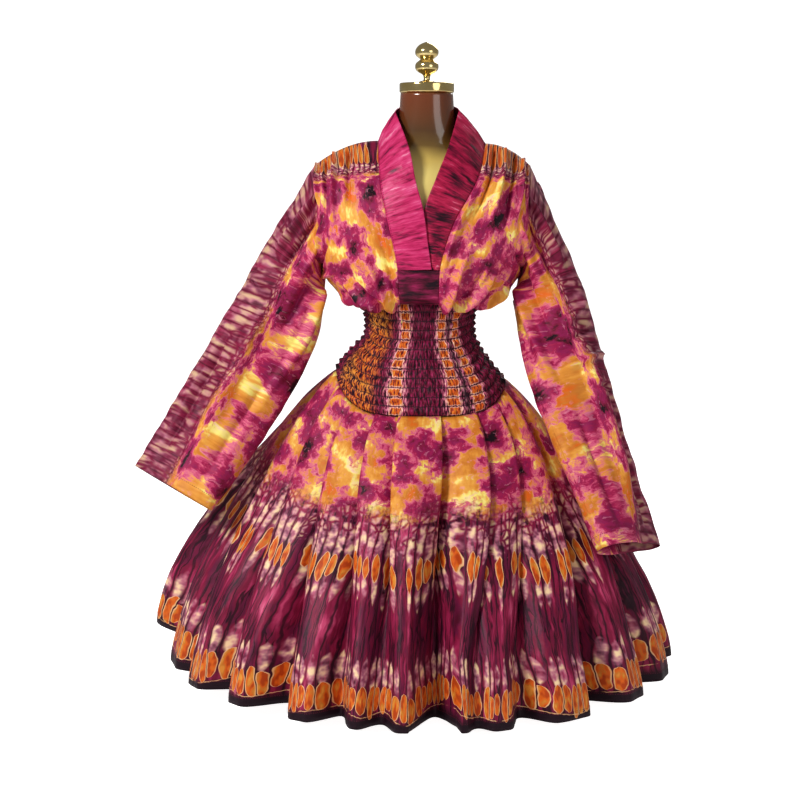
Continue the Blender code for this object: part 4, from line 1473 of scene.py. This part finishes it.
def back_point(u, v):
    """A point of the bodice back: a shoulder strip, the neck's width, and the other shoulder strip."""
    share = max(0.0, (v - 0.5) / 0.5) ** 2
    line = Vector((0, BACK_LINE.at("y", v), BACK_LINE.at("z", v)))
    ends = []
    for edge, side in ((RIGHT_FRONT_EDGE, -1), (LEFT_FRONT_EDGE, 1)):
        across = side * BACK_LINE_REACH * (1 - share) + edge.at("x", 1.0) * share
        meets = edge_point(edge, 1.0)
        end = Vector((across, line.y, line.z))
        ends.append(end.lerp(meets, smooth(v, 0.97, 1.0)))
    strip = SHOULDER_SHARE
    if u <= strip:
        return row_point(ends[0], side_edge(v, -1, True), 1 - u / strip)
    if u >= 1 - strip:
        return row_point(ends[1], side_edge(v, 1, True), (u - 1 + strip) / strip)
    t = (u - strip) / (1 - 2 * strip)
    across = math.sin(math.pi * (t - 0.5)) * 0.5 + 0.5
    place = ends[0].lerp(ends[1], across)
    rise = math.sqrt(max(0.0, 1 - (2 * across - 1) ** 2))
    place.y += BACK_LINE.at("bulge", v) * rise
    place.z += 0.012 * rise * max(0.0, v - 0.6) / 0.4
    return place


BACK_CREASES = [
    (0.12, 0.00, 0.10, 0.26, 0.012, -0.0060),
    (0.20, 0.00, 0.16, 0.40, 0.014, 0.0070),
    (0.29, 0.00, 0.30, 0.34, 0.012, -0.0065),
    (0.37, 0.00, 0.34, 0.50, 0.013, 0.0070),
    (0.46, 0.00, 0.48, 0.38, 0.013, -0.0060),
    (0.55, 0.00, 0.52, 0.46, 0.014, 0.0070),
    (0.63, 0.00, 0.66, 0.42, 0.012, -0.0070),
    (0.72, 0.00, 0.70, 0.34, 0.013, 0.0060),
    (0.81, 0.00, 0.86, 0.36, 0.012, -0.0060),
    (0.90, 0.00, 0.92, 0.22, 0.012, 0.0060),
    (0.01, 0.42, 0.20, 0.60, 0.015, 0.0060),
    (0.99, 0.40, 0.78, 0.58, 0.015, 0.0060),
    (0.01, 0.50, 0.16, 0.74, 0.013, -0.0050),
    (0.99, 0.52, 0.86, 0.76, 0.013, -0.0050),
    (0.30, 1.00, 0.34, 0.60, 0.014, -0.0050),
    (0.70, 1.00, 0.64, 0.56, 0.014, -0.0050),
]


def back_relief(u, v):
    inside = smooth(v, 0.0, 0.05) * smooth(v, 1.0, 0.97) * smooth(u, 0.0, 0.02) * smooth(u, 1.0, 0.98)
    small = 0.0016 * ripple(u * 20, v * 12, 6.0) + 0.0018 * ripple(u * 60, v * 5, 7.0) * (1 - v)
    return (creased(BACK_CREASES, BACK_SIZE, u, v) + small) * inside


back = cloth(
    "bodice_back_cloth", BACK_COLUMNS, BODICE_ROWS, back_point,
    lambda u, v: (BACK_PRINT[0] + BACK_PRINT[1] * u, from_shoulder((1 - v) * BACK_SIZE[1])),
    lambda u, v: Vector((0, 0, 0.8)),
    back_relief, PRINT_CLOTH,
)
worn(back, "print_cloth", "bodice_back", (0.62, 0.35), "gathered", ["form_shell"])

# %% [markdown]
# ## The line and the creases of the sleeves
# A wide sleeve is one piece with a seam under the arm. Its line runs from the armhole to the cuff, and each
# row of its table gives the tube's middle, its width and depth, and how far it is turned. Long soft folds
# run down it, and short ones cross it at the elbow.

# %% The line and the creases of the sleeves
SLEEVE_SIZE = (0.42, 0.66)
SLEEVE_GAIN = 1.3  # how much stronger the sleeves' creases are than their rows say
RIGHT_SLEEVE = Table(
    "s x y z wide deep turn",
    [
        (0.30, -0.2500, -0.006, 0.7330, 0.073, 0.060, 0),
        (0.44, -0.2780, -0.018, 0.6570, 0.086, 0.048, 4),
        (0.60, -0.3230, -0.040, 0.5710, 0.090, 0.040, 10),
        (0.80, -0.3840, -0.075, 0.4680, 0.090, 0.034, 18),
        (1.00, -0.4480, -0.105, 0.3640, 0.086, 0.032, 22),
    ],
)
LEFT_SLEEVE = Table(
    "s x y z wide deep turn",
    [
        (0.30, 0.2330, -0.020, 0.7160, 0.066, 0.060, -10),
        (0.46, 0.2570, -0.050, 0.6120, 0.076, 0.050, -25),
        (0.64, 0.2910, -0.095, 0.5000, 0.084, 0.040, -40),
        (0.82, 0.3290, -0.145, 0.3850, 0.088, 0.032, -50),
        (1.00, 0.3640, -0.197, 0.2750, 0.088, 0.030, -54),
    ],
)
SLEEVE_CREASES = {
    -1: [
        (0.18, 0.00, 0.22, 0.34, 0.014, 0.0070),
        (0.26, 0.00, 0.30, 0.30, 0.012, -0.0070),
        (0.34, 0.00, 0.36, 0.26, 0.012, 0.0060),
        (0.10, 0.10, 0.22, 0.52, 0.016, -0.0080),
        (0.05, 0.16, 0.14, 0.66, 0.016, 0.0080),
        (0.30, 0.34, 0.24, 0.98, 0.018, 0.0070),
        (0.38, 0.46, 0.36, 1.00, 0.016, -0.0070),
        (0.16, 0.56, 0.18, 1.00, 0.016, -0.0060),
        (0.44, 0.20, 0.20, 0.30, 0.012, -0.0045),
        (0.42, 0.30, 0.26, 0.38, 0.010, 0.0040),
        (0.60, 0.00, 0.64, 0.50, 0.016, 0.0070),
        (0.74, 0.00, 0.72, 0.60, 0.016, -0.0070),
        (0.84, 0.20, 0.80, 0.96, 0.018, 0.0070),
        (0.68, 0.44, 0.66, 1.00, 0.016, -0.0060),
    ],
    1: [
        (0.16, 0.00, 0.20, 0.30, 0.014, 0.0070),
        (0.24, 0.00, 0.27, 0.34, 0.012, -0.0080),
        (0.33, 0.00, 0.34, 0.26, 0.012, 0.0060),
        (0.08, 0.08, 0.18, 0.46, 0.016, -0.0080),
        (0.04, 0.14, 0.12, 0.60, 0.016, 0.0080),
        (0.44, 0.40, 0.16, 0.47, 0.010, -0.0055),
        (0.42, 0.49, 0.14, 0.53, 0.010, 0.0055),
        (0.46, 0.57, 0.18, 0.60, 0.010, -0.0050),
        (0.40, 0.33, 0.20, 0.42, 0.010, 0.0050),
        (0.28, 0.40, 0.26, 1.00, 0.018, 0.0075),
        (0.37, 0.52, 0.35, 1.00, 0.014, -0.0065),
        (0.17, 0.60, 0.18, 1.00, 0.014, -0.0060),
        (0.58, 0.00, 0.62, 0.50, 0.016, 0.0070),
        (0.72, 0.00, 0.70, 0.60, 0.016, -0.0070),
        (0.86, 0.20, 0.82, 0.96, 0.018, 0.0070),
    ],
}
print("sleeve creases:", [len(rows) for rows in SLEEVE_CREASES.values()])

# %% [markdown]
# ## The sleeves
# The sleeve falls from the armhole as a slack tube and opens towards the cuff. Its first stretch runs
# straight from the armhole to the first row of the table. The dark ladder of the print lies along its outer
# fold, and the gold lies inside.

# %% The sleeves
SLEEVE_COLUMNS = 150
SLEEVE_ROWS = 120
SLEEVE_FOLD = 0.006  # height of the slack tube's own waves at the cuff


def from_fold(distance):
    """Where the print stands at a distance from a sleeve's outer fold: a dark ladder, then the gold."""
    return 0.332 + 0.42 * distance + 0.09 * smooth(distance, 0.100, 0.132)


def sleeve(name, node, table, side, start):
    def armhole(u):
        back = u > 0.5
        share = 2 * (1 - u) if back else 2 * u
        return side_edge(ARMPIT + (1 - ARMPIT) * share, side, back)

    def section(u, s):
        ahead = (edge_point(table, s + 0.02) - edge_point(table, s - 0.02)).normalized()
        wide = Vector((0, 1, 0)).cross(ahead).normalized()
        if wide.x * side < 0:
            wide = -wide
        deep = ahead.cross(wide).normalized()
        if deep.y > 0:
            deep = -deep
        twist = math.radians(table.at("turn", s)) * side
        angle = 2 * math.pi * u
        first = wide * math.cos(twist) + deep * math.sin(twist)
        second = deep * math.cos(twist) - wide * math.sin(twist)
        reach = second * math.sin(angle) * table.at("deep", s) - first * math.cos(angle) * table.at("wide", s)
        return edge_point(table, s) + reach

    first_row = table.rows[0][0]

    def place(u, s):
        if s < first_row:
            return armhole(u).lerp(section(u, first_row), s / first_row)
        point = section(u, s)
        outward = (point - edge_point(table, s)).normalized()
        return point + outward * SLEEVE_FOLD * s * math.sin(6 * math.pi * u + 5 * s)

    def core(u, s):
        if s < first_row:
            return Vector((side * 0.19, 0, 0.85)).lerp(edge_point(table, first_row), s / first_row)
        return edge_point(table, s)

    def relief(u, s):
        small = 0.0030 * ripple(u * 12, s * 16, 11.0 + side) + 0.0016 * ripple(u * 30, s * 30, 15.0)
        edge = smooth(s, 0.0, 0.03) * math.sin(math.pi * u) ** 0.2
        return (SLEEVE_GAIN * creased(SLEEVE_CREASES[side], SLEEVE_SIZE, u, s) + small) * edge

    item = cloth(
        name, SLEEVE_COLUMNS, SLEEVE_ROWS, place,
        lambda u, s: (start + SLEEVE_SIZE[1] * s, from_fold(abs(u - 0.5) * SLEEVE_SIZE[0] * 1.15)),
        core, relief, SLEEVE_CLOTH,
    )
    worn(item, "print_cloth", node, SLEEVE_SIZE, "hung", ["bodice_back_cloth"])


sleeve("sleeve_right_cloth", "sleeve_right", RIGHT_SLEEVE, -1, 2.3)
sleeve("sleeve_left_cloth", "sleeve_left", LEFT_SLEEVE, 1, 3.4)

# %% [markdown]
# ## The neck band and the insert
# The band is a straight strip, folded double, that runs from the crossing up round the nape. It is cut
# from streaked cloth, with the streaks across it. The short insert below is darker.

# %% The neck band
BAND_STRIP = 26  # grid columns across the band
BAND_STRETCH = 150  # grid rows along each front half
INSERT_STRETCH = 60
BAND_LENGTH = 0.34
BAND_WIDTH = 0.062
BAND_WALL = 0.0018  # the band is folded double
NAPE_DEPTH = 0.082
NAPE_RISE = 0.016
RIGHT_BAND_EDGE = Table(
    "v x y z",
    [
        (0.333, 0.0155, -0.1400, 0.7665),
        (0.45, 0.0090, -0.1370, 0.8110),
        (0.60, 0.0010, -0.1330, 0.8700),
        (0.75, -0.0130, -0.1180, 0.9230),
        (0.88, -0.0250, -0.0860, 0.9820),
        (1.00, -0.0500, -0.0200, 1.0480),
    ],
)
LEFT_BAND_EDGE = Table(
    "v x y z",
    [
        (0.333, 0.0125, -0.1350, 0.7665),
        (0.45, 0.0040, -0.1320, 0.8050),
        (0.60, 0.0000, -0.1280, 0.8640),
        (0.75, 0.0240, -0.1130, 0.9300),
        (0.88, 0.0460, -0.0780, 0.9840),
        (1.00, 0.0670, -0.0180, 1.0500),
    ],
)


def neck_band(name, node, seam, free, material, start):
    def place(t, share):
        v = ARMPIT + (1 - ARMPIT) * share
        point = edge_point(seam, v).lerp(edge_point(free, v), t)
        return point + out_direction(point) * 0.003 * math.sin(math.pi * t)

    def relief(t, share):
        inside = math.sin(math.pi * t) ** 0.5
        broad = 0.0011 * ripple(t * 2, share * 26, start)
        fine = 0.0006 * ripple(t * 5, share * 60, start)
        return inside * (broad + fine)

    item = cloth(
        name, BAND_STRIP, BAND_STRETCH, place,
        lambda t, share: (start + share * BAND_LENGTH, t * BAND_WIDTH),
        lambda t, share: Vector((0, 0, 0.9)),
        relief, material, thickness=BAND_WALL,
    )
    worn(item, "band_cloth", node, (BAND_WIDTH, BAND_LENGTH), "stretched", ["form_shell"])


neck_band("neck_band_right_cloth", "neck_band_right", RIGHT_FRONT_EDGE, RIGHT_BAND_EDGE, BRIGHT_CLOTH, 0.0)
neck_band("neck_band_left_cloth", "neck_band_left", LEFT_FRONT_EDGE, LEFT_BAND_EDGE, DEEP_CLOTH, 0.7)


def nape_point(u, v):
    strip = SHOULDER_SHARE
    low = back_point(strip + (1 - 2 * strip) * u, 1.0)
    across = math.sin(math.pi * (u - 0.5)) * 0.5 + 0.5
    rise = math.sqrt(max(0.0, 1 - (2 * across - 1) ** 2))
    ends = [edge_point(table, 1.0) for table in (RIGHT_BAND_EDGE, LEFT_BAND_EDGE)]
    high = ends[0].lerp(ends[1], across) + Vector((0, NAPE_DEPTH * rise, NAPE_RISE * rise))
    return low.lerp(high, v)


nape = cloth(
    "neck_band_back_cloth", 90, BAND_STRIP, nape_point,
    lambda u, v: (1.6 + u * 0.26, v * BAND_WIDTH),
    lambda u, v: Vector((0, 0, 1.0)),
    lambda u, v: 0.0008 * ripple(u * 20, v * 2, 5.0) * math.sin(math.pi * v),
    BRIGHT_CLOTH, thickness=BAND_WALL,
)
worn(nape, "band_cloth", "neck_band_back", (0.28, BAND_WIDTH), "stretched", ["form_shell"])


def insert_point(t, share):
    v = share * ARMPIT
    point = edge_point(RIGHT_FRONT_EDGE, v).lerp(edge_point(LEFT_FRONT_EDGE, v), t)
    return point + out_direction(point) * 0.004 * math.sin(math.pi * t)


insert = cloth(
    "insert_cloth", BAND_STRIP, INSERT_STRETCH, insert_point,
    lambda t, share: (2.4 + share * 0.085, t * 0.07),
    lambda t, share: Vector((0, 0, 0.74)),
    lambda t, share: 0.0010 * ripple(t * 2, share * 9, 9.0) * math.sin(math.pi * share),
    INSERT_CLOTH, thickness=BAND_WALL,
)
worn(insert, "waist_cloth", "placket", (0.07, 0.09), "stretched", ["form_shell"])

# %% [markdown]
# ## Stitches
# A hem is turned up and sewn, and the neck band is sewn down along its seam. Each stitch is a small bead of
# thread, a little sunk into the cloth. The stitches of one seam follow a line of the panel's own grid, so
# they lie on its folds, and all of one panel's stitches are joined into one piece.

# %% Stitches
STITCH_PITCH = 0.0042
STITCH_LENGTH = 0.0030
THREAD_WIDTH = 0.0008
HEM_UP = 2  # grid rows from the hem up to its stitches
CUFF_UP = 4  # grid rows from the cuff up to its stitches


def thread_paint(net, place):
    return net.mix(net.noise(place, 300.0), INK["maroon"], INK["plum"])


THREAD = hard_material("plum_thread", thread_paint, 0.70)


def grid_line(item, columns, rows, row=None, column=None):
    """(place, outward) along a row or a column of a panel's grid; both count from its first corner."""
    verts = item.data.vertices
    if row is not None:
        chosen = [row * (columns + 1) + k for k in range(columns + 1)]
    else:
        chosen = [k * (columns + 1) + column for k in range(rows + 1)]
    return [(verts[k].co.copy(), verts[k].normal.copy()) for k in chosen]


def sewn(name, lines):
    bm = bmesh.new()
    for line in lines:
        rest = 0.0
        for (start, outward), (end, _) in zip(line, line[1:]):
            step = end - start
            length = step.length
            while rest < length:
                along = step.normalized()
                side = outward.cross(along).normalized()
                frame_of = Matrix((along, side, along.cross(side))).transposed().to_4x4()
                frame_of.translation = start + along * rest + outward * THREAD_WIDTH * 0.2
                size = Matrix.Diagonal((STITCH_LENGTH / 2, THREAD_WIDTH / 2, THREAD_WIDTH / 2, 1))
                bmesh.ops.create_icosphere(bm, subdivisions=1, radius=1.0, matrix=frame_of @ size)
                rest += STITCH_PITCH
            rest -= length
    item = linked(name, bm, [THREAD])
    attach(item, "root")
    print(name, len(item.data.polygons), "faces")


for name, columns in SKIRT_COLUMNS.items():
    half = bpy.data.objects[name]
    sewn(name.replace("cloth", "stitches"), [grid_line(half, columns, SKIRT_ROWS, row=SKIRT_ROWS - HEM_UP)])
for side in ("right", "left"):
    tube = bpy.data.objects[f"sleeve_{side}_cloth"]
    sewn(f"sleeve_{side}_stitches", [grid_line(tube, SLEEVE_COLUMNS, SLEEVE_ROWS, row=SLEEVE_ROWS - CUFF_UP)])
    strip = bpy.data.objects[f"neck_band_{side}_cloth"]
    sewn(f"neck_band_{side}_stitches", [grid_line(strip, BAND_STRIP, BAND_STRETCH, column=1)])
